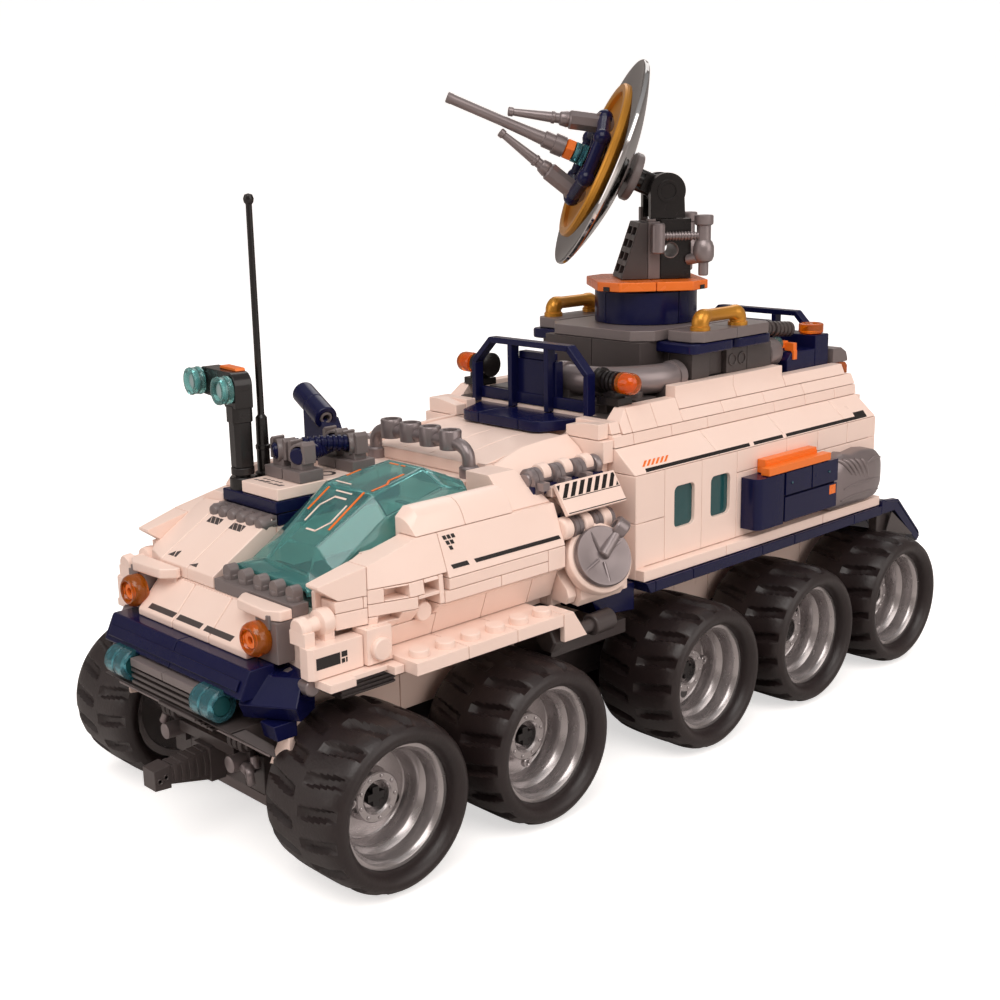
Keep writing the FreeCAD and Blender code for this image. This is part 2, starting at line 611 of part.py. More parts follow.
save("rear_boxes", rearBoxes)


# ---- canopy ----
def canopyLoft(rows, drop, trim):
    """Ruled shell over six-cornered sections."""
    wires = []
    for y, low, kneeX, kneeZ, topX, topZ in rows:
        half = canopyHalf - seatGap - trim
        points = (
            (-half, low - drop), (-half + kneeX, kneeZ - trim * 0.6), (-half + topX, topZ - trim),
            (half - topX, topZ - trim), (half - kneeX, kneeZ - trim * 0.6), (half, low - drop))
        corners = [vec(canopyMidX + x, y, z) for x, z in points]
        wires.append(Part.makePolygon(corners + corners[:1]))
    return Part.makeLoft(wires, True, True)


canopyRows = (
    (-4.6, 66.2, 0.4, 67.2, 1.2, 68.2),
    (1.0, 66.2, 0.8, 68.4, 7.4, 69.6),
    (4.0, 66.4, 1.2, 70.4, 8.8, 74.6),
    (20.0, 75.0, 1.6, 80.0, 6.4, 85.0),
    (38.0, 80.4, 1.4, 84.4, 9.3, 88.0),
    (44.9, 81.4, 0.6, 82.8, 2.0, 84.4))
innerRows = list(canopyRows)
innerRows[0] = (-4.6 + skin,) + canopyRows[0][1:]
innerRows[-1] = (44.9 - skin,) + canopyRows[-1][1:]
canopy = canopyLoft(canopyRows, 0.0, 0.0).cut(canopyLoft(innerRows, 4.0, skin))
hingeY = 46.6
hingeZ = 82.6
canopyHinge = rod(1.5, (canopyMidX - 10, hingeY, hingeZ), (canopyMidX + 10, hingeY, hingeZ))
canopyHinge = canopyHinge.fuse(box(canopyMidX - 4, canopyMidX + 4, 44.9, hingeY, hingeZ - 1.0, hingeZ + 1.0))
save("canopy_glass", [canopy])
save("canopy_hinge", [canopyHinge.removeSplitter()])

# ---- turret and dish, turned to their rest heading ----
turretYaw = -38.5
tiltY = 5.0             # the tilt hinge stands behind the turret's axis
tiltZ = 151.0


def seat(shape):
    shape.translate(vec(0, drumY, 0))
    shape.rotate(vec(0, drumY, 0), vec(0, 0, 1), turretYaw)
    return shape


spigot = Part.makeCylinder(spigotR - pivotGap, 8.5, vec(0, 0, 114.2))
corner = 11.0
half = 16.7
plateTop = 125.3
turretPlate = prismZ(drumTop + seatGap, plateTop, (
    (-corner, -half), (corner, -half), (half, -corner), (half, corner),
    (corner, half), (-corner, half), (-half, corner), (-half, -corner)))
save("turret_plate", [seat(joined(turretPlate, spigot))])
baseTop = 143.0
earTop = 154.0
earIn = 4.2
base = joined(box(-stud, stud, -1.0, 12.0, plateTop, baseTop),
              box(-stud, -earIn, 2.0, 8.4, baseTop, earTop),
              box(earIn, stud, 2.0, 8.4, baseTop, earTop))
base = base.cut(rod(pinHoleR, (-20, 5.9, 133.8), (20, 5.9, 133.8)))
base = base.cut(rod(pinHoleR, (-20, tiltY, tiltZ), (20, tiltY, tiltZ)))
slope = prismX(-stud, stud, ((-9.0, plateTop), (-1.0, plateTop), (-1.0, baseTop - 1.0), (-3.5, baseTop - 1.0)))
save("turret_base", [seat(base)])
taps = [seat(slope)]
for side in (-1, 1):
    lug = box(min(side * 8, side * 12), max(side * 8, side * 12), 10.0, 15.0, 128.0, 131.0)
    taps.append(seat(joined(rod(1.6, (side * 12.0, 14.0, 126.0), (side * 12.0, 14.0, 143.6)), lug).cut(base)))
save("turret_trim", taps)


def onDish(shape):
    """Dish pieces are drawn level and then tilted up about the hinge."""
    shape.rotate(vec(0, tiltY, tiltZ), vec(1, 0, 0), -tilt)
    return seat(shape)


tilt = 23.5
armEnd = -8.0
neckR = 2.0
arm = joined(rod(pinHoleR - pivotGap, (-8.0, tiltY, tiltZ), (8.0, tiltY, tiltZ)),
             rod(4.0, (-3.9, tiltY, tiltZ), (3.9, tiltY, tiltZ)),
             box(-3.0, 3.0, armEnd, tiltY, tiltZ - 3.0, tiltZ + 3.0))
save("dish_arm", [onDish(arm)])


def bowl(radius, depth, thick, at):
    """Shallow dish of revolution opening along -Y, one arc outside and one inside."""
    middle = (neckR + radius) / 2
    back = [vec(r, at - depth * (r / radius) ** 2, tiltZ) for r in (neckR, middle, radius)]
    front = [p - vec(0, thick, 0) for p in back]
    edges = [
        Part.Arc(back[0], back[1], back[2]).toShape(),
        Part.makeLine(back[2], front[2]),
        Part.Arc(front[2], front[1], front[0]).toShape(),
        Part.makeLine(front[0], back[0]),
    ]
    return Part.Face(Part.Wire(edges)).revolve(vec(0, 0, tiltZ), vec(0, 1, 0), 360)


shell = 1.4
save("dish_chrome", [onDish(bowl(32.0, 7.0, shell, armEnd))])
goldAt = armEnd - shell - 2.2
save("dish_gold", [onDish(bowl(24.0, 5.0, shell, goldAt))])
feed = turned(((0, neckR), (6.4, neckR), (6.4, 9.0), (10.5, 9.0), (10.5, 4.5), (14.0, 4.5), (20.0, 3.4),
               (36.0, 3.0), (36.0, bar / 2), (57.0, bar / 2)), (0, armEnd, tiltZ), (0, -1, 0))
save("dish_feed", [onDish(feed)])
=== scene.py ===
import bpy
import math
import numpy as np
from mathutils import Matrix, Vector


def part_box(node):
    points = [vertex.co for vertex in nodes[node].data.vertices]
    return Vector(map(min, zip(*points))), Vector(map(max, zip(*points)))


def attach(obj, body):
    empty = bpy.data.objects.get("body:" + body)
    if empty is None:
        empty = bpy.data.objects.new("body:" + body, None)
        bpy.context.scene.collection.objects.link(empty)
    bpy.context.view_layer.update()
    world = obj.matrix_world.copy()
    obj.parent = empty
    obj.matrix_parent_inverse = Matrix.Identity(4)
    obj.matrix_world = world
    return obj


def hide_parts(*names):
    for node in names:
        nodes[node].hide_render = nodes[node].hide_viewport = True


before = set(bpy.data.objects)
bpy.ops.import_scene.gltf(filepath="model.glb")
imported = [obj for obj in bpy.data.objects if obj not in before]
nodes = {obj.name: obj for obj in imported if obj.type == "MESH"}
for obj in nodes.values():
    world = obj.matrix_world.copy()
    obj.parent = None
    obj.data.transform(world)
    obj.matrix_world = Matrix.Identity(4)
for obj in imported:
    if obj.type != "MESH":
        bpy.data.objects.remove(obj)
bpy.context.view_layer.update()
axleLow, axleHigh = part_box("wheelset_1")
axleY = (axleLow.y + axleHigh.y) / 2     # front axle: lengths below are millimetres from it and from the floor
print("frame loaded:", len(nodes), "nodes")


# A shape is a pair: an array of points in millimetres, and a list of faces.
def joined(shapes):
    # all points stacked, each shape's faces raised by the points before it
    points, faces, count = [], [], 0
    for p, f in shapes:
        points.append(p)
        faces += [tuple(int(i) + count for i in face) for face in f]
        count += len(p)
    return np.concatenate(points), faces


def gridFaces(rows, columns, closed=True):
    # quad between row i, i+1 and column j, j+1, the last column meeting the first one when closed
    i, j = np.meshgrid(np.arange(rows - 1), np.arange(columns if closed else columns - 1), indexing="ij")
    k = (j + 1) % columns
    quads = np.stack([i * columns + j, i * columns + k, (i + 1) * columns + k, (i + 1) * columns + j], axis=-1)
    return [tuple(q) for q in quads.reshape(-1, 4)]


def lofted(rings):
    # rings (m, n, 3) joined in order, with the first and last ones filled
    m, n = rings.shape[:2]
    faces = gridFaces(m, n)
    faces += [tuple(range(n - 1, -1, -1)), tuple(range((m - 1) * n, m * n))]
    return rings.reshape(-1, 3), faces


def carried(outline, axis, start, end):
    # an outline of the other two coordinates carried straight along one axis
    flat = np.array(outline, float)
    area = np.sum(flat[:, 0] * np.roll(flat[:, 1], -1) - np.roll(flat[:, 0], -1) * flat[:, 1])
    if (area < 0) != (axis == 1):        # the y axis turns the other way round, as x by z is -y
        flat = flat[::-1]
    rings = np.stack([np.insert(flat, axis, where, axis=1) for where in (start, end)])
    return lofted(rings)


def block(x0, x1, y0, y1, z0, z1):
    # the box between two values on each axis
    return carried([(x0, y0), (x1, y0), (x1, y1), (x0, y1)], 2, z0, z1)


def flipped(shape):
    # the shape across the middle plane, faces turned back outwards
    points, faces = shape
    return points * (-1, 1, 1), [tuple(reversed(f)) for f in faces]


def extruded(polygon, along):
    # a flat polygon in space carried by one vector, turned so that its faces look outwards
    p, d = np.array(polygon, float), np.array(along, float)
    normal = np.sum(np.cross(p, np.roll(p, -1, axis=0)), axis=0)
    if np.dot(normal, d) < 0:
        p = p[::-1]
    return lofted(np.stack([p, p + d]))


def marked(corner, u, v, outlines):
    # printed marks: flat outlines in the plane of u and v, from 0.1 below it to 0.05 above it
    u, v = (np.array(d, float) / np.linalg.norm(d) for d in (u, v))
    n = np.cross(u, v)
    return [extruded([np.array(corner) + a * u + b * v - 0.1 * n for a, b in line], n * (0.1 + 0.05))
            for line in outlines]


def bar2d(a0, a1, b0, b1, lean=0.0):
    # an outline of four corners, its far edge shifted along by the lean
    return [(a0, b0), (a1, b0), (a1 + lean, b1), (a0 + lean, b1)]


def bothSides(shape):
    # one shape, or several as a list, with the mirror image
    whole = joined(shape) if isinstance(shape, list) else shape
    return joined([whole, flipped(whole)])


def basisFrom(axis):
    # two unit vectors square to the axis, then the axis at unit length
    w = np.array(axis, float) / np.linalg.norm(axis)
    u = np.cross(w, (0, 0, 1) if abs(w[2]) < 0.9 else (1, 0, 0))
    u = u / np.linalg.norm(u)
    return u, np.cross(w, u), w


def turned(profile, base, axis, around=24, start=0.0):
    # point(a, t) = base + along(t) * axis + radius(t) * (cos a, sin a); a radius of 0 becomes one shared pole point
    u, v, w = basisFrom(axis)
    a = start + np.arange(around) * 2 * np.pi / around
    radial = np.cos(a)[:, None] * u + np.sin(a)[:, None] * v
    radius, along = np.array(profile, float).T
    keep = slice(1 if radius[0] == 0 else 0, len(radius) - 1 if radius[-1] == 0 else len(radius))
    rings = np.array(base, float) + along[keep, None, None] * w + radius[keep, None, None] * radial[None]
    rows = len(rings)
    points, faces, last = rings.reshape(-1, 3), gridFaces(rows, around), (rows - 1) * around
    poles = []
    for at, first, turnedBack in ((0, 0, True), (-1, last, False)):
        ring = list(range(first, first + around))
        if radius[at] == 0:
            pole = len(points) + len(poles)
            poles.append(np.array(base, float) + along[at] * w)
            pairs = list(zip(ring, ring[1:] + ring[:1]))
            faces += [(k, j, pole) if turnedBack else (j, k, pole) for j, k in pairs]
        else:
            faces.append(tuple(ring[::-1] if turnedBack else ring))
    if poles:
        points = np.concatenate([points, np.array(poles)])
    return points, faces


def ringed(profile, base, axis, around=48):
    # a closed section of (radius, along) turned right round, with no poles
    u, v, w = basisFrom(axis)
    a = np.arange(around) * 2 * np.pi / around
    radial = np.cos(a)[:, None] * u + np.sin(a)[:, None] * v
    section = np.array(profile, float)
    if np.sum(section[:, 0] * np.roll(section[:, 1], -1) - np.roll(section[:, 0], -1) * section[:, 1]) < 0:
        section = section[::-1]
    radius, along = np.concatenate([section, section[:1]]).T
    rings = np.array(base, float) + along[:, None, None] * w + radius[:, None, None] * radial[None]
    count = len(section) * around
    faces = [tuple(i % count for i in face) for face in gridFaces(len(section) + 1, around)]
    return rings[:-1].reshape(-1, 3), faces


def swept(route, radius, around=16):
    # a circle carried along the route, its frame turned no more than the route turns
    p = np.array(route, float)
    r = np.broadcast_to(np.array(radius, float), len(p))
    d = np.gradient(p, axis=0)
    d = d / np.linalg.norm(d, axis=1)[:, None]
    u = basisFrom(d[0])[0]
    a = np.arange(around) * 2 * np.pi / around
    rings = []
    for k in range(len(p)):
        u = u - d[k] * np.dot(u, d[k])
        u = u / np.linalg.norm(u)
        rings.append(p[k] + r[k] * (np.cos(a)[:, None] * u + np.sin(a)[:, None] * np.cross(d[k], u)))
    return lofted(np.stack(rings))


def rod(start, end, radius, around=20, chamfer=0.3):
    # a straight turned bar with a small chamfer at both ends
    a, b = np.array(start, float), np.array(end, float)
    length = np.linalg.norm(b - a)
    c = min(chamfer, radius * 0.4, length * 0.3)
    profile = [(radius - c, 0), (radius, c), (radius, length - c), (radius - c, length)]
    return turned(profile, a, b - a, around)


def rounded(route, bend, steps=6):
    # each inner corner swapped for a quadratic curve between points a bend away from it
    p = [np.array(q, float) for q in route]
    out = [p[0]]
    t = np.linspace(0, 1, steps)[:, None]
    for before, corner, after in zip(p, p[1:], p[2:]):
        a = corner + (before - corner) * min(0.5, bend / np.linalg.norm(before - corner))
        b = corner + (after - corner) * min(0.5, bend / np.linalg.norm(after - corner))
        out += list((1 - t) ** 2 * a + 2 * t * (1 - t) * corner + t ** 2 * b)
    out.append(p[-1])
    return np.array(out)


def ribbed(route, radius, depth, pitch, steps=8):
    # route resampled evenly, its radius rising and falling once each pitch
    p = np.array(route, float)
    s = np.concatenate([[0], np.cumsum(np.linalg.norm(np.diff(p, axis=0), axis=1))])
    t = np.linspace(0, s[-1], max(2, int(s[-1] / pitch * steps)))
    q = np.stack([np.interp(t, s, p[:, i]) for i in range(3)], axis=1)
    return q, radius - depth * (np.cos(t / pitch * 2 * np.pi) > 0.2)


def moved(shape, matrix=None, by=(0, 0, 0)):
    # every point times the matrix, plus the step
    points = shape[0] if matrix is None else shape[0] @ np.array(matrix).T
    return points + np.array(by, float), shape[1]


def turnZ(degrees):
    # rotation matrix about the upright axis
    a = math.radians(degrees)
    return np.array([[math.cos(a), -math.sin(a), 0], [math.sin(a), math.cos(a), 0], [0, 0, 1]])


def studAt(x, y, z, around=20):
    # a round knob of radius 2.4, its top edge bevelled by 0.2
    return turned([(2.4, 0), (2.4, 1.6), (2.2, 1.8), (0, 1.8)], (x, y, z), (0, 0, 1), around)


def put(name, shapes, material, body="chassis", instead=(), bevel=0.0, smooth=38):
    # millimetres from the front axle become metres in the frame; the object stays at the origin
    points, faces = joined(shapes) if isinstance(shapes, list) else shapes
    mesh = bpy.data.meshes.new(name)
    mesh.from_pydata((points * 0.001 + (0, axleY, 0)).tolist(), [], faces)
    mesh.polygons.foreach_set("use_smooth", np.ones(len(mesh.polygons), bool))
    mesh.materials.append(material)
    piece = bpy.data.objects.new(name, mesh)
    bpy.context.scene.collection.objects.link(piece)
    if bevel:
        edge = piece.modifiers.new("edge", "BEVEL")
        edge.width = bevel * 0.001
        edge.segments = 2
        edge.limit_method = "ANGLE"
        edge.angle_limit = math.radians(32)
        edge.harden_normals = True
    else:
        mesh.set_sharp_from_angle(angle=math.radians(smooth))
    mesh.update()
    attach(piece, body)
    if instead:
        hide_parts(*instead)
    return piece


# Finishes. Each group reads Object coordinates and puts out only what changes over the surface.
def nodeGroup(name, inputs, outputs):
    # an empty group with its sockets, then its input node and its output node
    tree = bpy.data.node_groups.new(name, "ShaderNodeTree")
    for label, kind, value in inputs:
        socket = tree.interface.new_socket(label, in_out="INPUT", socket_type=kind)
        socket.default_value = value
    for label, kind in outputs:
        tree.interface.new_socket(label, in_out="OUTPUT", socket_type=kind)
    return tree, tree.nodes.new("NodeGroupInput"), tree.nodes.new("NodeGroupOutput")


def noise(tree, vector, scale, detail=3.0, roughness=0.5, stretch=None):
    # noise between 0 and 1, its coordinates multiplied by the stretch
    node = tree.nodes.new("ShaderNodeTexNoise")
    node.inputs["Detail"].default_value = detail
    node.inputs["Roughness"].default_value = roughness
    if stretch:
        mapping = tree.nodes.new("ShaderNodeMapping")
        mapping.inputs["Scale"].default_value = stretch
        tree.links.new(vector, mapping.inputs["Vector"])
        vector = mapping.outputs["Vector"]
    tree.links.new(vector, node.inputs["Vector"])
    if isinstance(scale, (int, float)):
        node.inputs["Scale"].default_value = scale
    else:
        tree.links.new(scale, node.inputs["Scale"])
    return node.outputs["Fac"]


def ranged(tree, value, low, high, toLow, toHigh):
    # the value's place between low and high carried to toLow and toHigh, held inside them
    node = tree.nodes.new("ShaderNodeMapRange")
    for label, amount in (("From Min", low), ("From Max", high), ("To Min", toLow), ("To Max", toHigh)):
        if isinstance(amount, (int, float)):
            node.inputs[label].default_value = amount
        else:
            tree.links.new(amount, node.inputs[label])
    tree.links.new(value, node.inputs["Value"])
    return node.outputs["Result"]


def arithmetic(tree, operation, a, b):
    node = tree.nodes.new("ShaderNodeMath")
    node.operation = operation
    for k, amount in enumerate((a, b)):
        if isinstance(amount, (int, float)):
            node.inputs[k].default_value = amount
        else:
            tree.links.new(amount, node.inputs[k])
    return node.outputs["Value"]


def mixed(tree, factor, a, b):
    # colour a at factor 0, colour b at factor 1
    node = tree.nodes.new("ShaderNodeMix")
    node.data_type = "RGBA"
    tree.links.new(factor, node.inputs["Factor"])
    for label, colour in (("A", a), ("B", b)):
        socket = [s for s in node.inputs if s.name == label and s.type == "RGBA"][0]
        if isinstance(colour, (tuple, list)):
            socket.default_value = (*colour[:3], 1.0)
        else:
            tree.links.new(colour, socket)
    return [s for s in node.outputs if s.type == "RGBA"][0]


def makeMouldedSkin():
    # orange-peel bump = fine noise; roughness = base + spread * slow noise + fine rubbed scratches
    tree, source, sink = nodeGroup("mouldedSkin", [
        ("Grain Scale", "NodeSocketFloat", 2600.0), ("Grain Depth", "NodeSocketFloat", 0.08),
        ("Roughness", "NodeSocketFloat", 0.3), ("Spread", "NodeSocketFloat", 0.1),
        ("Scratches", "NodeSocketFloat", 0.1)],
        [("Roughness", "NodeSocketFloat"), ("Normal", "NodeSocketVector")])
    where = tree.nodes.new("ShaderNodeTexCoord").outputs["Object"]
    grain = noise(tree, where, source.outputs["Grain Scale"], 2.0)
    slow = noise(tree, where, 45.0, 4.0, 0.6)
    lines = noise(tree, where, 900.0, 2.0, 0.5, (1.0, 0.06, 0.35))
    rubbed = arithmetic(tree, "MULTIPLY", ranged(tree, lines, 0.62, 0.72, 0.0, 1.0), source.outputs["Scratches"])
    spread = arithmetic(tree, "MULTIPLY", arithmetic(tree, "SUBTRACT", slow, 0.5), source.outputs["Spread"])
    rough = arithmetic(tree, "ADD", source.outputs["Roughness"], arithmetic(tree, "ADD", spread, rubbed))
    tree.links.new(rough, sink.inputs["Roughness"])
    bump = tree.nodes.new("ShaderNodeBump")
    bump.inputs["Distance"].default_value = 0.0003
    tree.links.new(source.outputs["Grain Depth"], bump.inputs["Strength"])
    tree.links.new(arithmetic(tree, "ADD", grain, arithmetic(tree, "MULTIPLY", rubbed, -0.6)), bump.inputs["Height"])
    tree.links.new(bump.outputs["Normal"], sink.inputs["Normal"])
    return tree


def makeShadeDrift():
    # colour = base, a little nearer the second shade where slow noise is high, then dust where it settles
    tree, source, sink = nodeGroup("shadeDrift", [
        ("Color", "NodeSocketColor", (0.8, 0.8, 0.8, 1)), ("Second", "NodeSocketColor", (0.7, 0.7, 0.7, 1)),
        ("Amount", "NodeSocketFloat", 0.5), ("Dust", "NodeSocketFloat", 0.05),
        ("Dust Color", "NodeSocketColor", (0.42, 0.37, 0.33, 1))],
        [("Color", "NodeSocketColor"), ("Mask", "NodeSocketFloat")])
    where = tree.nodes.new("ShaderNodeTexCoord").outputs["Object"]
    drift = arithmetic(tree, "MULTIPLY", ranged(tree, noise(tree, where, 28.0, 4.0, 0.62), 0.35, 0.7, 0.0, 1.0),
                       source.outputs["Amount"])
    specks = ranged(tree, noise(tree, where, 1500.0, 3.0, 0.7), 0.66, 0.78, 0.0, 1.0)
    veil = ranged(tree, noise(tree, where, 110.0, 5.0, 0.7), 0.45, 0.75, 0.0, 1.0)
    dust = arithmetic(tree, "MULTIPLY", arithmetic(tree, "ADD", specks, veil), source.outputs["Dust"])
    tinted = mixed(tree, drift, source.outputs["Color"], source.outputs["Second"])
    tree.links.new(mixed(tree, dust, tinted, source.outputs["Dust Color"]), sink.inputs["Color"])
    tree.links.new(dust, sink.inputs["Mask"])
    return tree


mouldedSkin = makeMouldedSkin()
shadeDrift = makeShadeDrift()


def placed(tree, group, values):
    # a node that holds the group, its inputs set from the values
    node = tree.nodes.new("ShaderNodeGroup")
    node.node_tree = group
    for label, value in values.items():
        node.inputs[label].default_value = (*value, 1.0) if isinstance(value, tuple) else value
    return node


def finishOf(name, color, second, rough=0.28, spread=0.12, scratches=0.06, grain=0.05, scale=2600.0,
             amount=0.5, dust=0.03, dustColor=(0.42, 0.37, 0.33), metallic=0.0, **plain):
    # skin gives the roughness and normal, drift the colour; what else is named goes straight on the shader
    material = bpy.data.materials.new(name)
    material.use_nodes = True
    tree = material.node_tree
    shader = tree.nodes["Principled BSDF"]
    shader.inputs["Metallic"].default_value = metallic
    for label, value in plain.items():
        shader.inputs[label.replace("_", " ")].default_value = value
    skin = placed(tree, mouldedSkin, {"Grain Scale": scale, "Grain Depth": grain, "Roughness": rough,
                                      "Spread": spread, "Scratches": scratches})
    shade = placed(tree, shadeDrift, {"Color": color, "Second": second, "Amount": amount, "Dust": dust,
                                      "Dust Color": dustColor})
    tree.links.new(shade.outputs["Color"], shader.inputs["Base Color"])
    tree.links.new(skin.outputs["Roughness"], shader.inputs["Roughness"])
    tree.links.new(skin.outputs["Normal"], shader.inputs["Normal"])
    return material


whitePlastic = finishOf("whitePlastic", (0.96, 0.755, 0.665), (0.93, 0.70, 0.60), rough=0.30, dust=0.012)
navyPlastic = finishOf("navyPlastic", (0.004, 0.005, 0.040), (0.007, 0.009, 0.055), rough=0.2, dust=0.004,
                       Specular_IOR_Level=0.28)
darkGreyPlastic = finishOf("darkGreyPlastic", (0.062, 0.050, 0.049), (0.080, 0.064, 0.062), rough=0.34, dust=0.02)
midGreyPlastic = finishOf("midGreyPlastic", (0.17, 0.14, 0.138), (0.21, 0.175, 0.17), rough=0.32, dust=0.02)
blackPlastic = finishOf("blackPlastic", (0.009, 0.007, 0.007), (0.015, 0.012, 0.012), rough=0.24, dust=0.006)
silverPlastic = finishOf("silverPlastic", (0.25, 0.21, 0.212), (0.32, 0.275, 0.275), rough=0.33, metallic=0.55,
                         dust=0.02)
orangePlastic = finishOf("orangePlastic", (0.92, 0.20, 0.02), (0.84, 0.15, 0.015), rough=0.28, dust=0.01)
goldPlastic = finishOf("goldPlastic", (0.66, 0.30, 0.035), (0.52, 0.21, 0.022), rough=0.3, metallic=0.55, dust=0.01)
rimSilver = finishOf("rimSilver", (0.46, 0.43, 0.43), (0.54, 0.50, 0.50), rough=0.26, spread=0.06, scratches=0.04,
                     amount=0.3, metallic=0.8)
tyreRubber = finishOf("tyreRubber", (0.015, 0.009, 0.009), (0.024, 0.015, 0.015), rough=0.42, spread=0.2,
                      grain=0.22, scale=1500.0, dust=0.02, dustColor=(0.16, 0.11, 0.10))
chrome = finishOf("chrome", (0.80, 0.79, 0.79), (0.72, 0.71, 0.71), rough=0.06, spread=0.05, scratches=0.08,
                  grain=0.01, metallic=1.0, dust=0.01)


def clearOf(name, color, second, weight, rough=0.05):
    # coloured clear plastic: the tint drifts with slow noise, and faint rub marks dull it
    material = finishOf(name, color, second, rough=rough, spread=0.03, scratches=0.05, grain=0.01, amount=0.4,
                        dust=0.01, IOR=1.5)
    material.node_tree.nodes["Principled BSDF"].inputs["Transmission Weight"].default_value = weight
    return material


tealClear = clearOf("tealClear", (0.34, 0.80, 0.78), (0.28, 0.73, 0.72), weight=0.87)
amberClear = clearOf("amberClear", (0.98, 0.23, 0.004), (0.94, 0.19, 0.003), rough=0.06, weight=0.72)
tealLens = clearOf("tealLens", (0.16, 0.50, 0.58), (0.11, 0.43, 0.51), weight=0.86)
paleLens = finishOf("paleLens", (0.34, 0.44, 0.45), (0.26, 0.36, 0.38), rough=0.08, spread=0.04, grain=0.01, dust=0.0)
darkGlass = finishOf("darkGlass", (0.012, 0.07, 0.075), (0.018, 0.09, 0.095), rough=0.07, spread=0.04, grain=0.01)


def paintedEdgeShade(material, low, high):
    # painted shade on the mirror finish: the base colour falls from high, seen straight on, to low, seen along the
    # surface, darkening the rims
    tree = material.node_tree
    shader = tree.nodes["Principled BSDF"]
    facing = tree.nodes.new("ShaderNodeLayerWeight")
    facing.inputs["Blend"].default_value = 0.55
    old = shader.inputs["Base Color"].links[0].from_socket
    node = tree.nodes.new("ShaderNodeMix")
    node.data_type = "RGBA"
    node.blend_type = "MULTIPLY"
    node.inputs["Factor"].default_value = 1.0
    shade = ranged(tree, facing.outputs["Facing"], 0.1, 0.95, high, low)
    sockets = [s for s in node.inputs if s.type == "RGBA"]
    tree.links.new(old, sockets[0])
    tree.links.new(shade, sockets[1])
    tree.links.new([s for s in node.outputs if s.type == "RGBA"][0], shader.inputs["Base Color"])


# painted shade: the chrome's base colour is darkened towards its rims as the view grazes them
paintedEdgeShade(chrome, 0.30, 1.0)
keptFinish = {
    "white": whitePlastic, "navy": navyPlastic, "dark_grey": darkGreyPlastic, "mid_grey": midGreyPlastic,
    "silver": silverPlastic, "black": blackPlastic, "teal_clear": tealClear, "amber_clear": amberClear,
    "orange": orangePlastic, "gold": goldPlastic, "chrome": chrome, "tyre": tyreRubber, "rim": rimSilver}
slotOf = {material.name: slot for slot, material in keptFinish.items()}
slotOf.update({"tealLens": "teal_clear", "paleLens": "teal_clear", "darkGlass": "teal_clear"})
for node in nodes.values():
    for where in node.material_slots:
        where.material = keptFinish[where.material.name.split(".")[0]]
print("finishes made:", len(bpy.data.materials))


# Running gear
def stationOf(n):
    # the middle of an axle's box, in millimetres behind the front axle
    low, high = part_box("wheelset_%d" % n)
    return (low.y + high.y) * 500 - axleY * 1000


stations = [stationOf(n) for n in range(1, 6)]
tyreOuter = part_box("tyres_1")[1].x * 1000
tyre = {"width": 28.0, "radius": 20.8, "lugs": 17, "samples": 16, "depth": 1.35, "slant": 0.028, "gap": 0.20,
        "inner": 1.0, "outer": 13.0, "ramp": 1.6, "wall": 0.07}


def tyreShape(side):
    # section = half outline with its mirror; each point sinks along the section's normal by depth * groove(angle, x)
    half = np.array([(8.0, 15.0), (11.2, 15.0), (12.3, 15.25), (13.3, 15.9), (13.85, 16.8), (14.0, 17.6), (13.7, 18.5),
                     (13.0, 19.3), (12.0, 19.9), (10.6, 20.35), (8.9, 20.6), (7.0, 20.72), (5.0, 20.78),
                     (3.2, tyre["radius"]), (1.8, tyre["radius"]), (0.9, tyre["radius"])])
    section = np.concatenate([half, [(0.0, tyre["radius"])], half[::-1] * (-1, 1)])
    step = np.gradient(section, axis=0)
    normal = np.stack([step[:, 1], -step[:, 0]], axis=1)
    normal = normal / np.linalg.norm(normal, axis=1)[:, None]
    normal = np.where((section[:, 1] > 15.1)[:, None], normal, 0) * -1
    normal = np.where(normal[:, 1:] < -0.5, -normal, normal)
    n = tyre["lugs"] * tyre["samples"]
    a = np.arange(n) * 2 * np.pi / n
    x, r = section.T
    turn = a[:, None] * tyre["lugs"] / (2 * np.pi) + np.where(x > 0, 0.0, 0.5)[None] + np.abs(x)[None] * tyre["slant"]
    phase = np.abs((turn % 1.0) - 0.5)
    across = 1 - np.clip((phase - tyre["gap"] + tyre["wall"]) / tyre["wall"], 0, 1)
    reach = np.clip((np.abs(x) - tyre["inner"]) / tyre["ramp"], 0, 1)
    reach = reach * np.clip((tyre["outer"] - np.abs(x)) / tyre["ramp"], 0, 1)
    reach = np.where(r > 18.9, reach, 0)
    sink = tyre["depth"] * across * across * (3 - 2 * across) * reach[None]
    x2 = x[None] + normal[None, :, 0] * (-sink)
    r2 = r[None] + normal[None, :, 1] * -sink
    rings = np.stack([x2 * side, r2 * np.cos(a)[:, None], r2 * np.sin(a)[:, None]], axis=-1)
    m, k = rings.shape[:2]
    points = rings.reshape(-1, 3)
    i, j = np.meshgrid(np.arange(m), np.arange(k), indexing="ij")
    quads = np.stack([i * k + j, i * k + (j + 1) % k, (i + 1) % m * k + (j + 1) % k, (i + 1) % m * k + j], axis=-1)
    if side > 0:
        quads = quads[..., ::-1]
    return points, [tuple(q) for q in quads.reshape(-1, 4)]


rimSize = {"bolts": 9, "boltCircle": 5.1, "boltDepth": 10.5, "holes": 3, "holeCircle": 8.7, "holeRadius": 1.45,
           "holeDepth": 14.2, "lugCircle": 7.3, "lugDepth": 11.9, "around": 72}
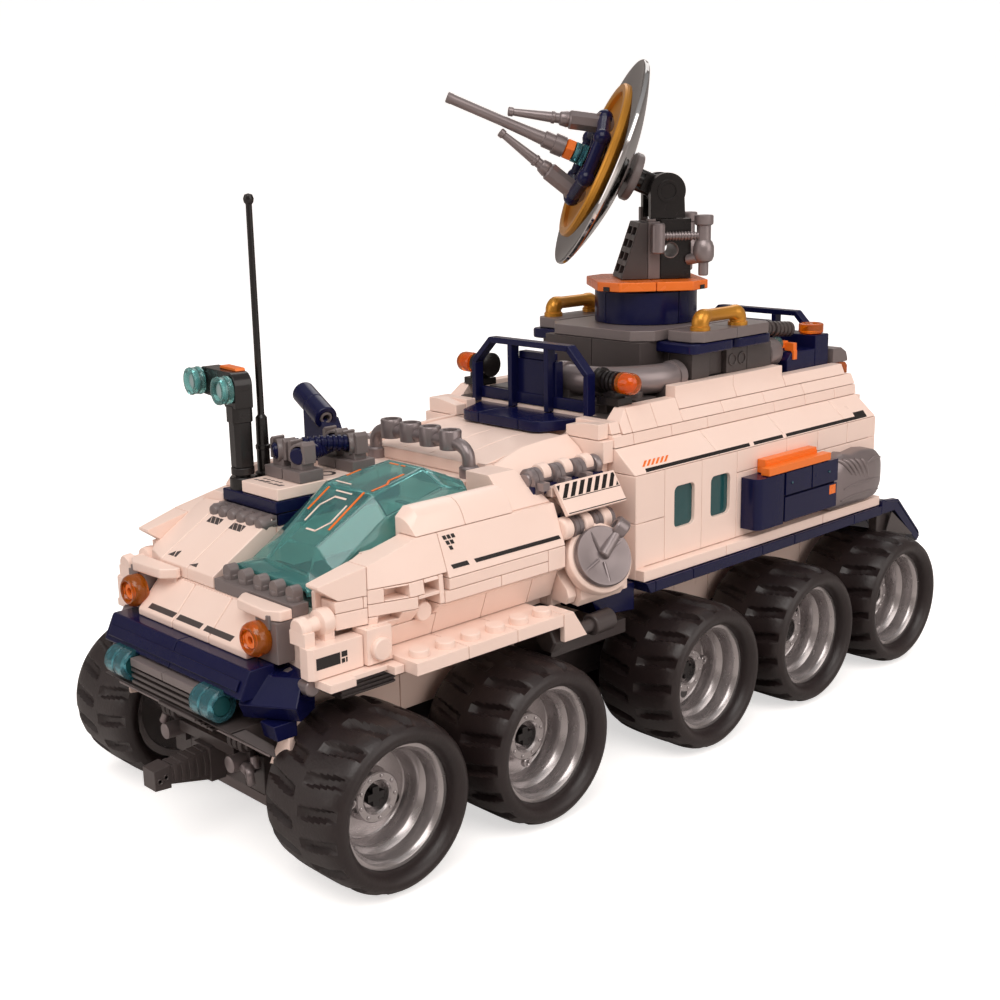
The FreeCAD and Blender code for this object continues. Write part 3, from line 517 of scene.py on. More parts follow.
# (radius, depth behind the tyre's outer face): hub, web and stepped well out to the lip, then in along the back
rimProfile = [(0, 13.6), (3.5, 13.6), (3.7, 11.1), (4.2, 10.6), (5.8, 10.5), (6.1, 10.8), (6.2, 13.9), (6.5, 14.2),
              (10.4, 14.2), (10.7, 13.9), (11.2, 10.2), (11.6, 9.5), (12.5, 8.7), (12.7, 8.5), (12.9, 5.2), (13.2, 4.5),
              (14.0, 3.75), (14.9, 3.75), (15.02, 4.0), (15.02, 23.7), (14.8, 24.2), (12.9, 24.2), (12.5, 23.0),
              (7.0, 21.4), (4.0, 21.4), (3.8, 24.0), (0, 24.0)]


def rimShape(side, phase):
    # the profile turned about the axle, then bolts and a lug set on it
    at = lambda radius, angle, depth: (side * (tyreOuter - depth), radius * math.cos(angle), radius * math.sin(angle))
    face = np.array(rimProfile)[::-1]
    metal = [turned(np.stack([face[:, 0], -face[:, 1]], axis=1), (side * tyreOuter, 0, 0), (side, 0, 0),
                    rimSize["around"])]
    for k in range(rimSize["bolts"]):
        a = phase + k * 2 * math.pi / rimSize["bolts"]
        metal.append(turned([(0.5, -0.2), (0.5, 0.15), (0.3, 0.3)],
                            at(rimSize["boltCircle"], a, rimSize["boltDepth"]), (side, 0, 0), 8))
    metal.append(turned([(1.25, 0), (1.25, 1.0), (1.1, 1.2), (0.75, 1.2), (0.6, 1.0), (0.6, 0.4)],
                        at(rimSize["lugCircle"], phase + 0.35, rimSize["lugDepth"]), (side, 0, 0), 16))
    # the web's holes are not cut through: flat black discs on the web stand for them, painted shade
    dark = []
    for k in range(rimSize["holes"]):
        dark.append(turned([(rimSize["holeRadius"], -0.5), (rimSize["holeRadius"], 0.06)],
                           at(rimSize["holeCircle"], phase + 1.0 + k * 2.094, rimSize["holeDepth"]), (side, 0, 0), 20))
    return metal, dark


def crossAxle(end):
    # a plus of two 1.8 wide bars carried from one wheel to the other
    a, b = 0.9, 2.35
    plus = [(-a, -b), (a, -b), (a, -a), (b, -a), (b, a), (a, a), (a, b), (-a, b), (-a, a), (-b, a), (-b, -a), (-a, -a)]
    return carried(plus, 0, -end, end)


tyrePair = joined([moved(tyreShape(1), by=(tyreOuter - tyre["width"] / 2, 0, 0)),
                   moved(tyreShape(-1), by=(tyre["width"] / 2 - tyreOuter, 0, 0))])
for n, y in enumerate(stations, 1):
    roll = np.array([[1, 0, 0], [0, math.cos(n * 2.1), -math.sin(n * 2.1)], [0, math.sin(n * 2.1), math.cos(n * 2.1)]])
    place = (0, y, tyre["radius"])
    body = "axle_%d" % n
    put("tyreRubber%d" % n, moved(tyrePair, roll, place), tyreRubber, body, ["tyres_%d" % n], smooth=32)
    metal, dark = [], []
    for side in (1, -1):
        m, d = rimShape(side, n * 1.7 + side)
        metal += m
        dark += d
    put("rim%d" % n, moved(joined(metal), None, place), rimSilver, body, ["wheelset_%d" % n], smooth=28)
    dark.append(crossAxle(tyreOuter - 11.2))
    # the black piece holds the cross axle and the rims' hole discs of painted shade
    put("axle%d" % n, moved(joined(dark), None, place), blackPlastic, body, smooth=30)
print("wheels made:", len(stations) * 2)


# Nose: bumper, lamps, grille, hood and tow gear
seam = 0.09      # half of the gap between neighbouring bricks


def spans(*edges):
    # neighbouring pairs of edges, each with half a seam taken off both ends
    return [(a + seam, b - seam) for a, b in zip(edges, edges[1:])]


def sloped(x0, x1, outline):
    # an outline of y and z carried from x0 to x1, less the seam at both ends
    return carried(outline, 0, x0 + seam, x1 - seam)


bumper = {"half": 30.4, "endLength": 14.0, "endTurn": 32.0, "endAt": (27.5, -22.0)}
bumperFace = [(-14.0, 45.6), (-23.0, 45.6), (-23.6, 46.3), (-20.9, 52.0), (-20.4, 52.4), (-14.0, 52.4)]
navyNose = [sloped(-bumper["half"], 0, bumperFace), sloped(0, bumper["half"], bumperFace)]
strip = [(-23.35, 47.6), (-22.2, 50.1), (-21.7, 49.9), (-22.9, 47.3)]
navyNose.append(carried([(y - 0.25, z + 0.12) for y, z in strip], 0, -28.4, 28.4))
endBlock = carried([(-12.0, 40.5), (-20.5, 40.5), (-23.0, 44.5), (-18.5, 50.0), (-12.0, 51.5)], 0, 0,
                   bumper["endLength"])
endCap = carried([(-11.0, 47.0), (-19.0, 47.0), (-19.6, 48.4), (-18.4, 50.2), (-13.0, 52.3), (-11.0, 52.3)], 0, 0.2,
                 6.5)
pivot = np.array([0, bumper["endAt"][1], 0])
for part in (endBlock, endCap):
    away = moved(moved(part, by=-pivot), turnZ(bumper["endTurn"]), pivot + (bumper["endAt"][0], 0, 0))
    navyNose.append(bothSides(away))
navyNose.append(bothSides(carried([(-13.0, 36.5), (-18.5, 36.5), (-19.4, 40.4), (-13.0, 40.4)], 0, 31.0, 36.4)))
put("bumperBar", navyNose, navyPlastic, instead=["bumper_bar"], bevel=0.32)

noseLamp = {"x": 19.3, "y": -24.0, "z": 43.0, "half": 3.9, "core": 2.45}
lampLens, lampCore = [], []
for side in (-1, 1):
    for k in (-1, 1):      # two round bricks end to end
        centre = side * noseLamp["x"] + k * 2.15
        lampLens.append(ringed([(2.5, -2.0), (2.5, 2.0), (3.5, 2.0), (3.88, 1.7), (3.88, -1.7), (3.5, -2.0)],
                               (centre, noseLamp["y"], noseLamp["z"]), (1, 0, 0), 32))
    lampEnds = [(side * noseLamp["x"] + s * noseLamp["half"], noseLamp["y"], noseLamp["z"]) for s in (-1, 1)]
    lampCore.append(rod(*lampEnds, noseLamp["core"], 24))
put("noseLamps", lampLens, tealLens, instead=["front_lamps"], smooth=40)
put("noseLampCores", lampCore, darkGlass, smooth=40)

half = 14.7
greyNose = [block(-half + seam, -seam, -25.5, -21.6, 43.4, 45.5), block(seam, half - seam, -25.5, -21.6, 43.4, 45.5)]
darkNose = [block(-half, half, -23.2, -14.0, 37.6, 43.2)]
for k in range(3):
    darkNose.append(block(-half, half, -25.4, -22.4, 39.0 + k * 1.55, 39.85 + k * 1.55))
for k in range(4):
    z = 33.4 + k * 1.3
    y = -19.5 - (z - 32.5) * 1.15
    darkNose.append(block(-2.0, half - 0.6, y - 0.9, y + 1.2, z, z + 0.7))
skid = [(-18.6, 32.5), (-25.5, 38.4), (-14.0, 38.4), (-14.0, 32.5)]
middle = carried(skid, 0, -28.0, 28.0)
wing = np.array([[(28.0, -18.6, 32.5), (28.0, -25.5, 38.4), (28.0, -21.5, 38.4), (28.0, -17.9, 34.8)],
                 [(35.6, -18.6, 32.5), (27.6, -25.3, 38.3), (27.6, -21.5, 38.3), (34.0, -17.9, 34.8)]])
darkNose += [middle, bothSides(lofted(wing))]
put("grillTiles", greyNose, midGreyPlastic, bevel=0.22)
put("grillSlats", darkNose, darkGreyPlastic, instead=["grille_panel"], bevel=0.2)
# painted highlight: a thin silver strip along the skid's lower edge stands in for the light caught on that edge
paintedSkidHighlight = [carried([(-18.95, 32.2), (-18.95, 32.75), (-18.3, 32.75), (-18.3, 32.2)], 0, -33.5, 33.5)]
put("skidEdgeHighlight", paintedSkidHighlight, silverPlastic, bevel=0.08)
legs = [extruded([(31.0, -17.5, 29.5), (36.5, -15.5, 29.5), (36.5, -15.5, 36.5), (34.6, -16.2, 38.0)], (-1.6, 4.5, 0))]
legs.append(block(30.0, 34.0, -13.5, -9.6, 30.5, 44.5))
put("noseLegs", bothSides(legs), whitePlastic, bevel=0.25)

hood = {"half": 21.4, "front": -17.2, "lip": 54.2, "rear": -9.7, "top": 62.3}
hoodLine = [(-14.0, 52.4), (hood["front"], 52.4), (hood["front"], hood["lip"]), (hood["rear"], hood["top"]),
            (hood["rear"], 58.0)]
whiteNose = [sloped(-hood["half"] - 2.5, -8, hoodLine), sloped(-8, 8, hoodLine),
             sloped(8, hood["half"] + 2.5, hoodLine)]
capLine = [(14.3, -11.2), (17.0, -14.4), (28.6, -15.1), (32.5, -13.2), (32.5, -9.9), (14.3, -9.9)]
whiteNose += [bothSides(carried(capLine, 2, 62.4, 65.0)), bothSides(block(15.5, 24.0, -11.0, -9.7, 60.0, 62.4))]
put("hood", whiteNose, whitePlastic, instead=["hood"], bevel=0.45)
slope = np.array([0, hood["rear"] - hood["front"], hood["top"] - hood["lip"]])
dashes = marked((0, hood["front"], hood["lip"]), (1, 0, 0), slope,
                [bar2d(-20.0, -8.6, 1.0, 2.5, 0.5), bar2d(-7.0, 3.4, 1.0, 2.5, 0.5), bar2d(5.0, 16.5, 1.0, 2.5, 0.5)])
put("hoodDashes", dashes, darkGreyPlastic, smooth=30)

brackets = [block(24.1, 32.3, -14.4, -9.7, 52.5, 62.3), block(26.9, 30.2, -14.9, -12.4, 60.4, 63.8)]
amberHead, amberCore = [], []
for side in (-1, 1):
    spot = (side * 26.6, -14.4, 58.0)
    amberHead.append(turned([(0, 0), (3.9, 0), (4.1, 0.5), (4.1, 2.7), (3.75, 3.6), (3.1, 4.1), (2.7, 4.0), (2.5, 3.1),
                             (2.0, 2.7), (0, 2.5)], spot, (0, -1, 0), 40))
    amberCore.append(ringed([(1.0, 2.5), (1.0, 3.3), (1.9, 3.3), (1.9, 2.5)], spot, (0, -1, 0), 28))
put("headLampBrackets", bothSides(brackets), midGreyPlastic, bevel=0.22)

teeth = [block(0.15, 31.85, -9.6, -4.9, 62.4, 65.3)]
arc = np.linspace(0, np.pi, 9)
for k in range(5):
    x = 3.2 + 6.4 * k
    tooth = [(x + 1.6 * math.cos(a), 67.2 + 1.7 * math.sin(a)) for a in arc] + [(x - 1.6, 65.2), (x + 1.6, 65.2)]
    teeth.append(carried(tooth, 1, -8.0, -5.2))
    teeth.append(turned([(1.9, 0), (1.9, 1.2), (1.5, 1.5)], (x, -6.6, 65.1), (0, 0, 1), 20))
put("toothedBar", teeth, midGreyPlastic, instead=["nose_brackets"], bevel=0.2)

tow = {"z": 20.6, "ribs": 5, "pitch": 2.1}
gun = [carried([(-31.0, 17.6), (-31.0, 22.6), (-26.6, 23.2), (-26.6, 17.3)], 0, -2.7, 2.7),
       carried([(-26.8, 18.2), (-26.8, 22.4), (-12.2, 24.2), (-12.2, 16.0), (-16.0, 15.8)], 0, -2.5, 2.5),
       carried([(-16.2, 15.6), (-16.2, 24.4), (-12.0, 24.8), (-12.0, 15.6)], 0, -3.6, 3.6)]
for k in range(tow["ribs"]):
    y = -25.8 + k * tow["pitch"]
    h = 2.3 + k * 0.22
    gun.append(carried([(-2.9, tow["z"] - h), (2.9, tow["z"] - h), (3.1, tow["z"]), (2.3, tow["z"] + h),
                        (-2.3, tow["z"] + h), (-3.1, tow["z"])], 1, y, y + 1.15))
for y, z in ((-29.6, 19.8), (-27.9, 20.4)):
    gun.append(turned([(0.9, 0), (0.9, 0.35), (0.5, 0.35), (0.5, 0.1)], (2.6, y, z), (1, 0, 0), 14))
hoses = []
for k in range(3):
    hoses.append(turned([(1.3, -0.95), (2.1, -0.75), (2.4, 0), (2.1, 0.75), (1.3, 0.95)], (12.6 + k * 2.2, -14.3, 29.2),
                        (1, 0, 0), 20))
hoses += [rod((10.6, -14.3, 29.2), (19.0, -14.3, 29.2), 1.4), block(11.8, 17.0, -13.5, -12.0, 21.0, 31.0)]
put("towGun", gun + [bothSides(hoses), block(-12.0, 12.0, -14.8, -12.0, 24.2, 27.0)], darkGreyPlastic,
    instead=["tow_gear"], bevel=0.2)
silverTow = [turned([(0, 0), (1.5, 0), (2.05, 0.3), (2.05, 4.6), (1.6, 4.9), (1.6, 6.0)], (14.4, -18.0, 24.0),
                    (0, 1, 0), 24),
             rod((16.4, -15.0, 23.5), (18.6, -15.2, 23.0), 1.3), rod((19.4, -13.8, 26.5), (20.6, -14.4, 23.8), 1.2)]
silverTow += [rod((29.5, -11.0, 47.6), (40.5, -11.0, 48.4), 2.0, 24),
              turned([(1.4, 0), (2.9, 0.3), (3.3, 1.4), (3.0, 2.6), (2.1, 3.0)], (30.2, -11.0, 47.6), (1, 0, 0.07), 24),
              turned([(1.0, 0), (1.0, 0.3), (0.6, 0.3)], (36.0, -12.9, 48.0), (0, -1, 0), 12)]
hookRing = ringed([(1.2, -0.9), (1.2, 0.9), (2.6, 0.9), (2.8, 0.5), (2.8, -0.5), (2.6, -0.9)], (19.6, -15.6, 22.6),
                  (0.5, 1, 0.1), 24)
put("towTubes", [bothSides(silverTow), hookRing], silverPlastic, smooth=40)
print("nose made")


# Cab: sides in courses, nose wedges, shelves with studs, flaps and the cockpit lining
cabPlan = ((-7.3, 4.0, 16.0), (38.5, 40.5, 44.0))                       # half width along the cab
cabSection = ((51.5, 58.5, 60.2, 66.0, 76.6), (38.5, 41.0, 44.0, 44.0, 40.0))   # half width up the cab
roofLine = {"top": 76.6, "start": 70.5, "at": -7.3, "rise": 0.2202}     # rises from its start, up to the top


def course(stations, levels, inner=34.0, lift=None):
    # at each station: inner edge, then outer edge = least of plan and section, under the roof line
    rings = []
    ends = np.array(stations, float)
    ends[0] += seam
    ends[-1] -= seam
    for y in ends:
        z = np.array(levels, float)
        z[0] += seam
        z[-1] -= seam
        if lift is not None:
            z = np.maximum(z, np.interp(y, *lift))
        under = roofLine["start"] + (y - roofLine["at"]) * roofLine["rise"]
        z = np.minimum(z, min(roofLine["top"], under) - seam)
        x = np.minimum(np.interp(y, *cabPlan), np.interp(z, *cabSection))
        ring = [(inner, y, z[0]), (inner, y, z[-1])] + [(a, y, b) for a, b in zip(x[::-1], z[::-1])]
        rings.append(ring)
    return lofted(np.array(rings))


bends = [4.0, 16.0]      # where the plan turns
cabSide = [course([-7.2, -2.2, 4.0, 5.0], (66.2, 80.0), lift=((-7.3, -2.2), (69.9, 66.2))),
           course([5.0, 16.0, 20.4, 27.0], (67.5, 80.0)), course([27.0, 66.6], (66.0, 76.6)),
           course([27.0, 60.4], (63.1, 66.0)), course([60.4, 66.6], (60.2, 66.0)),
           course([25.6, 44.0], (60.2, 63.1)), course([44.0, 60.4], (60.2, 63.1)),
           course([-3.2, 4.0], (63.4, 66.2)), course([4.0, 5.0], (63.4, 66.2)), course([-3.2, 4.0, 5.0], (59.4, 63.4)),
           course([5.0, 16.0, 25.6], (51.6, 57.2)), course([25.6, 41.6], (51.6, 58.5, 60.2)),
           course([41.6, 57.6], (51.6, 58.5, 60.2)), course([57.6, 66.6], (51.6, 58.5, 60.2)),
           block(34.0, 38.6, 5.0, 25.6, 57.2, 67.5)]
for y0, y1, z0, z1 in ((5, 9, 64, 67.5), (9, 15, 67, 67.5), (9, 15, 64, 64.5), (15, 19.5, 64, 67.5),
                       (19.5, 24, 66.5, 67.5), (24, 25.6, 60.4, 67.5), (5, 17.4, 61, 64), (17.4, 24, 63, 64),
                       (5, 7.5, 57.2, 61), (13, 18, 57.2, 61), (7.5, 13, 57.2, 59.4), (24, 25.6, 57.2, 60.4)):
    inside = [b for b in bends if y0 < b < y1]
    cabSide.append(course([y0] + inside + [y1], (z0, z1), inner=36.0))
cabSide.append(turned([(2.4, 0), (2.4, 3.2), (2.1, 3.5), (0, 3.5)], (38.5, 20.8, 58.9), (1, 0, 0), 24))
for y0, y1 in ((20.5, 36.3), (36.3, 52.2)):
    full = [(32.4, 74.2), (32.4, 82.6), (35.0, 82.6), (36.3, 82.1), (37.6, 81.0), (38.8, 79.2), (39.9, 76.7),
            (34.0, 76.7)]
    first = [(32.4, 74.2), (32.4, 80.4), (34.4, 80.4), (35.8, 80.0), (37.2, 79.2), (38.6, 78.0), (39.9, 76.7),
             (34.0, 76.7)]
    rings = [[(x, y0 + seam, z) for x, z in (first if y0 < 30 else full)], [(x, y0 + 2.6, z) for x, z in full],
             [(x, y1 - seam, z) for x, z in full]]
    cabSide.append(lofted(np.array(rings)))
near = [(22.6, 52.3, 74.0), (22.6, 52.3, 84.7), (31.0, 52.3, 84.7), (38.8, 52.3, 76.7), (34.0, 52.3, 74.0)]
far = [(22.6, 61.4, 74.0), (22.6, 61.4, 84.7), (31.0, 61.4, 84.7), (38.8, 66.4, 76.7), (34.0, 66.4, 74.0)]
cabSide.append(lofted(np.array([near, far])))
put("cabSides", bothSides(cabSide), whitePlastic, instead=["cab_sides"], bevel=0.16)

panel = ((44.03, 0, 66.0), (0, 1, 0), (-4.0, 0, 10.6))       # the slanted upper panel of the cab's side
squares = [bar2d(28.4 + 1.35 * i + 0.6 * row, 29.4 + 1.35 * i + 0.6 * row, 9.2 - 1.35 * row, 10.2 - 1.35 * row, -0.3)
           for row in range(3) for i in range(3 - row)]
sideMarks = marked(*panel, squares + [bar2d(29.0, 34.2, 2.0, 3.1, -0.5), bar2d(36.4, 65.6, 2.0, 3.0, -0.5)])
sideMarks += marked((42.33, 0, 53.0), (0, 1, 0), (0, 0, 1), [bar2d(-11.2, -4.6, 0.0, 2.7), bar2d(-4.2, -3.3, 0.0, 1.0),
                                                            bar2d(-4.2, -2.6, 1.4, 2.7), bar2d(-3.0, -2.6, 0.0, 1.1)])
put("cabMarks", bothSides(sideMarks), blackPlastic, smooth=30)

noseLine = [(-9.6, 62.4), (-9.6, 65.4), (9.5, 77.0), (9.5, 62.4)]
wedge = [carried(noseLine, 0, -24.0, -12.1), carried(noseLine, 0, -11.95, -0.4)]
wings = [[(-24.1, -9.6, 62.4), (-24.1, 9.5, 62.4), (-24.1, 9.5, 77.0), (-24.1, -9.6, 65.4)],
         [(-32.0, -7.5, 62.4), (-32.0, 9.5, 62.4), (-32.0, 9.5, 76.4), (-32.0, -7.5, 65.8)],
         [(-38.0, -2.0, 62.4), (-38.0, 9.5, 62.4), (-38.0, 9.5, 73.4), (-38.0, -2.0, 67.0)]]
wedge.append(lofted(np.array(wings)))
wedge.append(carried([(-34.0, 73.9), (-24.1, 73.9), (-24.1, 79.0), (-28.0, 79.0), (-34.0, 76.8)], 1, 9.7, 20.3))
wedge.append(carried([(-4.6, 62.4), (-4.6, 67.8), (9.5, 73.8), (9.5, 62.4)], 0, 32.4, 33.9))
put("noseWedges", wedge, whitePlastic, instead=["nose_wedges"], bevel=0.3)
noseSlope = ((-24.0, -9.6, 65.45), (1, 0, 0), (0, 19.1, 11.6))
triangles = []
for x in (2.2, 4.0, 5.8, 12.2, 14.0, 15.8):
    triangles += [[(x, 14.6), (x + 1.6, 14.6), (x + 0.1, 16.6)], [(x + 1.7, 14.9), (x + 1.7, 16.7), (x + 0.3, 16.7)]]
triangles += [[(1.0, 1.8), (3.4, 1.8), (2.6, 3.4)], [(3.8, 1.8), (4.6, 1.8), (4.4, 4.0), (3.2, 3.4)],
              [(12, 1.0), (15, 1.0), (14.4, 2.2)]]
put("noseMarks", marked(*noseSlope, triangles), darkGreyPlastic, smooth=30)
knobs = []
for k in range(6):
    x = -22.4 + 4.05 * k
    knobs.append(turned([(1.0, 0), (1.9, 0.1), (1.9, 2.4), (2.1, 3.2), (1.7, 4.2), (0.8, 4.6), (0, 4.6)],
                        (x, 9.6, 75.3), (0, -1, -0.1), 24))
knobs.append(block(-24.0, -0.4, 8.4, 9.8, 74.2, 76.9))
put("deckKnobs", knobs, midGreyPlastic, smooth=40)

shelf = [block(34.1, 51.9, 9.6 + 16 * k + seam, 25.6 + 16 * k - seam, 48.4, 51.5) for k in range(3)]
for k in range(6):
    shelf.append(studAt(48.0, 13.6 + 8 * k, 51.45, 28))
shelf += [carried([(57.7, 44.2), (57.7, 51.5), (61.0, 51.5), (66.0, 44.2)], 0, 50.4, 52.0),
          carried([(57.7, 49.6), (57.7, 51.5), (61.0, 51.5), (62.2, 49.8)], 0, 44.0, 50.3),
          block(40.0, 46.4, -10.6, -3.4, 48.4, 50.4), block(40.0, 47.6, 6.6, 9.5, 48.4, 50.4),
          block(40.0, 45.2, -3.4, 6.6, 49.2, 50.4)]
flap = [carried([(38.1, -12.6), (41.3, -12.9), (42.3, -11.9), (42.3, 2.0), (38.1, 2.0)], 2, 50.6, 58.0),
        block(38.1, 43.6, 2.2, 9.4, 50.8, 59.2),
        turned([(2.7, 0), (2.7, 1.2), (2.4, 1.5), (0, 1.5)], (43.5, 5.8, 54.2), (1, 0, 0), 28),
        block(34.1, 38.0, -9.6, -4.0, 50.6, 58.0), block(34.6, 40.4, -12.6, -9.8, 57.9, 61.2),
        turned([(0, 0), (2.3, 0), (2.6, 0.4), (2.6, 2.4), (1.7, 2.8), (1.7, 5.4), (3.0, 5.8), (3.2, 7.2), (3.0, 8.8),
                (0, 9.2)], (37.4, -12.6, 61.6), (0, 1, 0.06), 24),
        block(35.4, 39.4, -6.4, -3.6, 57.9, 60.8)]
put("cabShelves", bothSides(shelf + flap), whitePlastic, instead=["skirt_shelves"], bevel=0.22)
under = [turned([(0, 0), (3.0, 0), (3.4, 0.5), (3.4, 3.4), (3.0, 3.9), (0, 3.9)], (46.4, 56.4, 43.6), (0, 1, 0), 6),
         rod((46.4, 60.0, 43.4), (46.4, 80.0, 43.8), 1.7, 20), rod((46.4, 73.0, 43.6), (46.4, 80.6, 43.8), 2.9, 24)]
for k in range(5):
    under.append(block(28.2, 40.0, -2.9, 12.9, 43.3 + k, 43.85 + k))
under += [block(28.0, 39.6, -2.8, 12.8, 43.0, 48.3), block(28.2, 42.0, 63.0, 92.0, 36.0, 40.0),
          block(28.2, 44.0, 60.0, 70.0, 40.2, 47.0)]
put("cabUnderworks", bothSides(under), darkGreyPlastic, bevel=0.18)
lining = [block(2.0, 30.0, -1.8, 45.8, 54.8, 55.4), block(1.7, 2.3, -1.8, 45.8, 55.4, 64.0),
          block(29.7, 30.3, -1.8, 45.8, 55.4, 64.0), block(4.0, 28.0, -1.6, 3.4, 55.4, 62.4),
          block(10.0, 22.0, 3.4, 6.0, 58.0, 64.4), block(8.0, 24.0, 26.0, 40.0, 61.2, 63.0),
          carried([(37.6, 63.0), (39.6, 76.4), (41.6, 76.4), (41.6, 63.0)], 0, 9.0, 23.0)]
put("cockpitLining", lining, darkGreyPlastic, bevel=0.3)
print("cab made")


# Right-hand deck: tiles, mast, whip, launcher and crossed hoses; canopy and the roof behind it
# one half of the step behind the cab, seen from above
stepPlan = [(8.1, 85.3), (13.4, 85.3), (15.4, 86.4), (21.4, 99.4), (8.1, 99.4)]
put("deckPlates", [block(-24.0, -0.4, 9.7, 25.5, 77.2, 80.3), block(-24.0, -0.4, 25.7, 49.5, 77.2, 80.3),
                   block(-23.8, -0.6, 10.4, 49.5, 74.0, 77.0), block(-7.9, 7.9, 85.3, 99.4, 88.45, 91.5),
                   bothSides(carried(stepPlan, 2, 88.45, 91.5))], navyPlastic, instead=["deck_plates"], bevel=0.3)
tiles = [block(-16.0, -0.4, 10.3, 25.5, 80.4, 83.4)]
tiles += [block(-16.0 + 7.9 * i, -8.3 + 7.9 * i, 25.7 + 8 * k, 33.5 + 8 * k, 80.4, 83.4)
          for i in range(2) for k in range(3)]
put("deckTiles", tiles, whitePlastic, instead=["deck_tile"], bevel=0.3)
lines = [bar2d(-14.5 + 2.0 * k, -13.2 + 2.0 * k, 13.0, 13.7 + 0.3 * (k % 3), 0.4) for k in range(6)]
lines += [bar2d(-13.6 + 1.7 * k, -12.8 + 1.7 * k, 15.2, 15.9, 0.3) for k in range(5)]
rim2d = [(-6.0 + 2.6 * math.cos(a), 29.6 + 2.6 * math.sin(a)) for a in np.linspace(0, 1.98 * math.pi, 28)]
rim2d += [(-6.0 + 1.6 * math.cos(a), 29.6 + 1.6 * math.sin(a)) for a in np.linspace(1.98 * math.pi, 0, 28)]
put("deckMarks", marked((0, 0, 83.4), (1, 0, 0), (0, 1, 0), lines + [rim2d]), darkGreyPlastic, smooth=30)

mast = {"at": (-20.0, 13.6), "heading": -6.5, "spacing": 15.6}


def onMast(shapes):
    # drawn about the post, then turned to the head's heading and set on its place
    return moved(joined(shapes), turnZ(mast["heading"]), (*mast["at"], 0))


arc = np.linspace(0, np.pi / 2, 7)
elbow = [(0.3 + 3.3 * math.sin(a), 107.2 + 3.3 * math.cos(a)) for a in arc]
elbow += [(3.5, 101.4), (-2.6, 101.4), (-3.4, 103.0), (-14.6, 103.4), (-16.4, 104.6), (-16.8, 107.0), (-16.0, 109.6),
          (-14.4, 110.5)]
post = [(-2.5, -1.5), (-1.5, -2.5), (1.5, -2.5), (2.5, -1.5), (2.5, 1.5), (1.5, 2.5), (-1.5, 2.5), (-2.5, 1.5)]
lensSpots = ((0.7, 106.2), (0.7 - mast["spacing"], 106.9))
collar = turned([(1.9, 0), (1.9, 3.6), (3.0, 3.6), (3.0, 5.4), (2.6, 5.6)], (*mast["at"], 80.4), (0, 0, 1), 28)
head = [carried(post, 2, 86.0, 97.6), carried([(x * 1.14, y * 1.14) for x, y in post], 2, 97.6, 102.0),
        carried(elbow, 1, -2.7, 2.3), block(3.3, 3.62, -1.9, 1.4, 105.9, 107.5)]
head += [rod((x, -2.6, z), (x, -4.6, z), 2.5, 24) for x, z in lensSpots]
put("mastColumn", [collar, onMast(head)], blackPlastic, body="mast", instead=["mast_column"], bevel=0.25)
put("mastTile", onMast([carried([(-8.6, 110.5), (0.6, 110.5), (0.2, 111.3), (-8.2, 111.3)], 1, -0.6, 2.2)]),
    orangePlastic, body="mast", bevel=0.2)
lensRings, lensCores = [], []
for x, z in lensSpots:
    lensRings.append(ringed([(2.7, 0), (2.3, 1.4), (2.5, 2.9), (2.9, 3.2), (3.5, 3.1), (3.65, 2.6), (3.5, 2.2),
                             (3.5, 0.9), (3.7, 0.6), (3.6, 0)], (x, -3.2, z), (0, -1, 0), 44))
    lensCores.append(turned([(2.4, 1.3), (2.4, 1.9), (1.8, 2.3), (0.9, 2.5), (0, 2.55)], (x, -3.2, z), (0, -1, 0), 30))
put("mastLenses", onMast(lensRings), tealClear, body="mast", instead=["mast_lenses"], smooth=40)
put("mastLensCores", onMast(lensCores), paleLens, body="mast", smooth=40)

whip = [(2.4, 0), (2.4, 3.0), (1.7, 3.4), (1.7, 9.0), (1.9, 9.2), (1.9, 10.2), (1.6, 10.4), (1.5, 17.4),
        (0.9, 18.2), (0.8, 71.4), (1.2, 71.9), (1.35, 72.8), (1.0, 73.8), (0, 74.1)]
put("whip", turned(whip, (-20.4, 20.4, 80.3), (0, 0, 1), 20), blackPlastic, instead=["whip_antenna"], smooth=35)

a, b = np.array((-18.0, 39.4, 95.0)), np.array((-32.7, 42.7, 100.2))
tubeLine = [(1.9, 0.9), (1.9, 0), (3.0, 0), (3.2, 0.3), (3.2, 7.5), (3.0, 7.7), (3.2, 7.9), (3.2, 15.4),
            (2.8, 15.8), (0, 15.8)]
launcher = [turned([(0, 2.0), (1.9, 2.0)] + tubeLine[1:], a, b - a, 32),
            carried([(-23.6, 83.5), (-15.0, 83.5), (-16.4, 90.0), (-18.6, 94.6), (-26.4, 96.4), (-26.4, 88.4)], 1,
                    38.0, 44.0),
            carried([(-22.0, 83.5), (-13.0, 83.5), (-13.0, 85.4), (-20.0, 86.4)], 1, 37.0, 45.0),
            carried([(-17.4, 83.5), (-12.2, 83.5), (-12.2, 84.4), (-17.4, 92.6)], 1, 39.2, 42.8)]
crossed = []
for p, q in (((-13.4, 18.6), (-3.1, 40.6)), ((-3.1, 18.6), (-13.4, 40.6))):
    lift = 1.0 if p[0] < -10 else -0.9
    route = rounded([(p[0], p[1], 90.0), ((p[0] + q[0]) / 2, (p[1] + q[1]) / 2, 90.4 + lift), (q[0], q[1], 90.0)],
                    9.0, 12)
    line, width = ribbed(route, 2.15, 0.4, 1.5)
    crossed.append(swept(line, width, 18))
put("launcher", launcher, navyPlastic, instead=["deck_tubes"], bevel=0.16)
put("crossedHoses", crossed, navyPlastic, smooth=45)
put("mastFoot", turned([(3.5, 0), (3.5, 2.8), (3.2, 3.1), (2.1, 3.1)], (*mast["at"], 80.3), (0, 0, 1), 28),
    blackPlastic, smooth=35)
clips = [ringed([(1.0, 0), (1.0, 3.6), (1.7, 3.6), (1.7, 0)], a - (b - a) / 16 * 0.1, b - a, 24)]
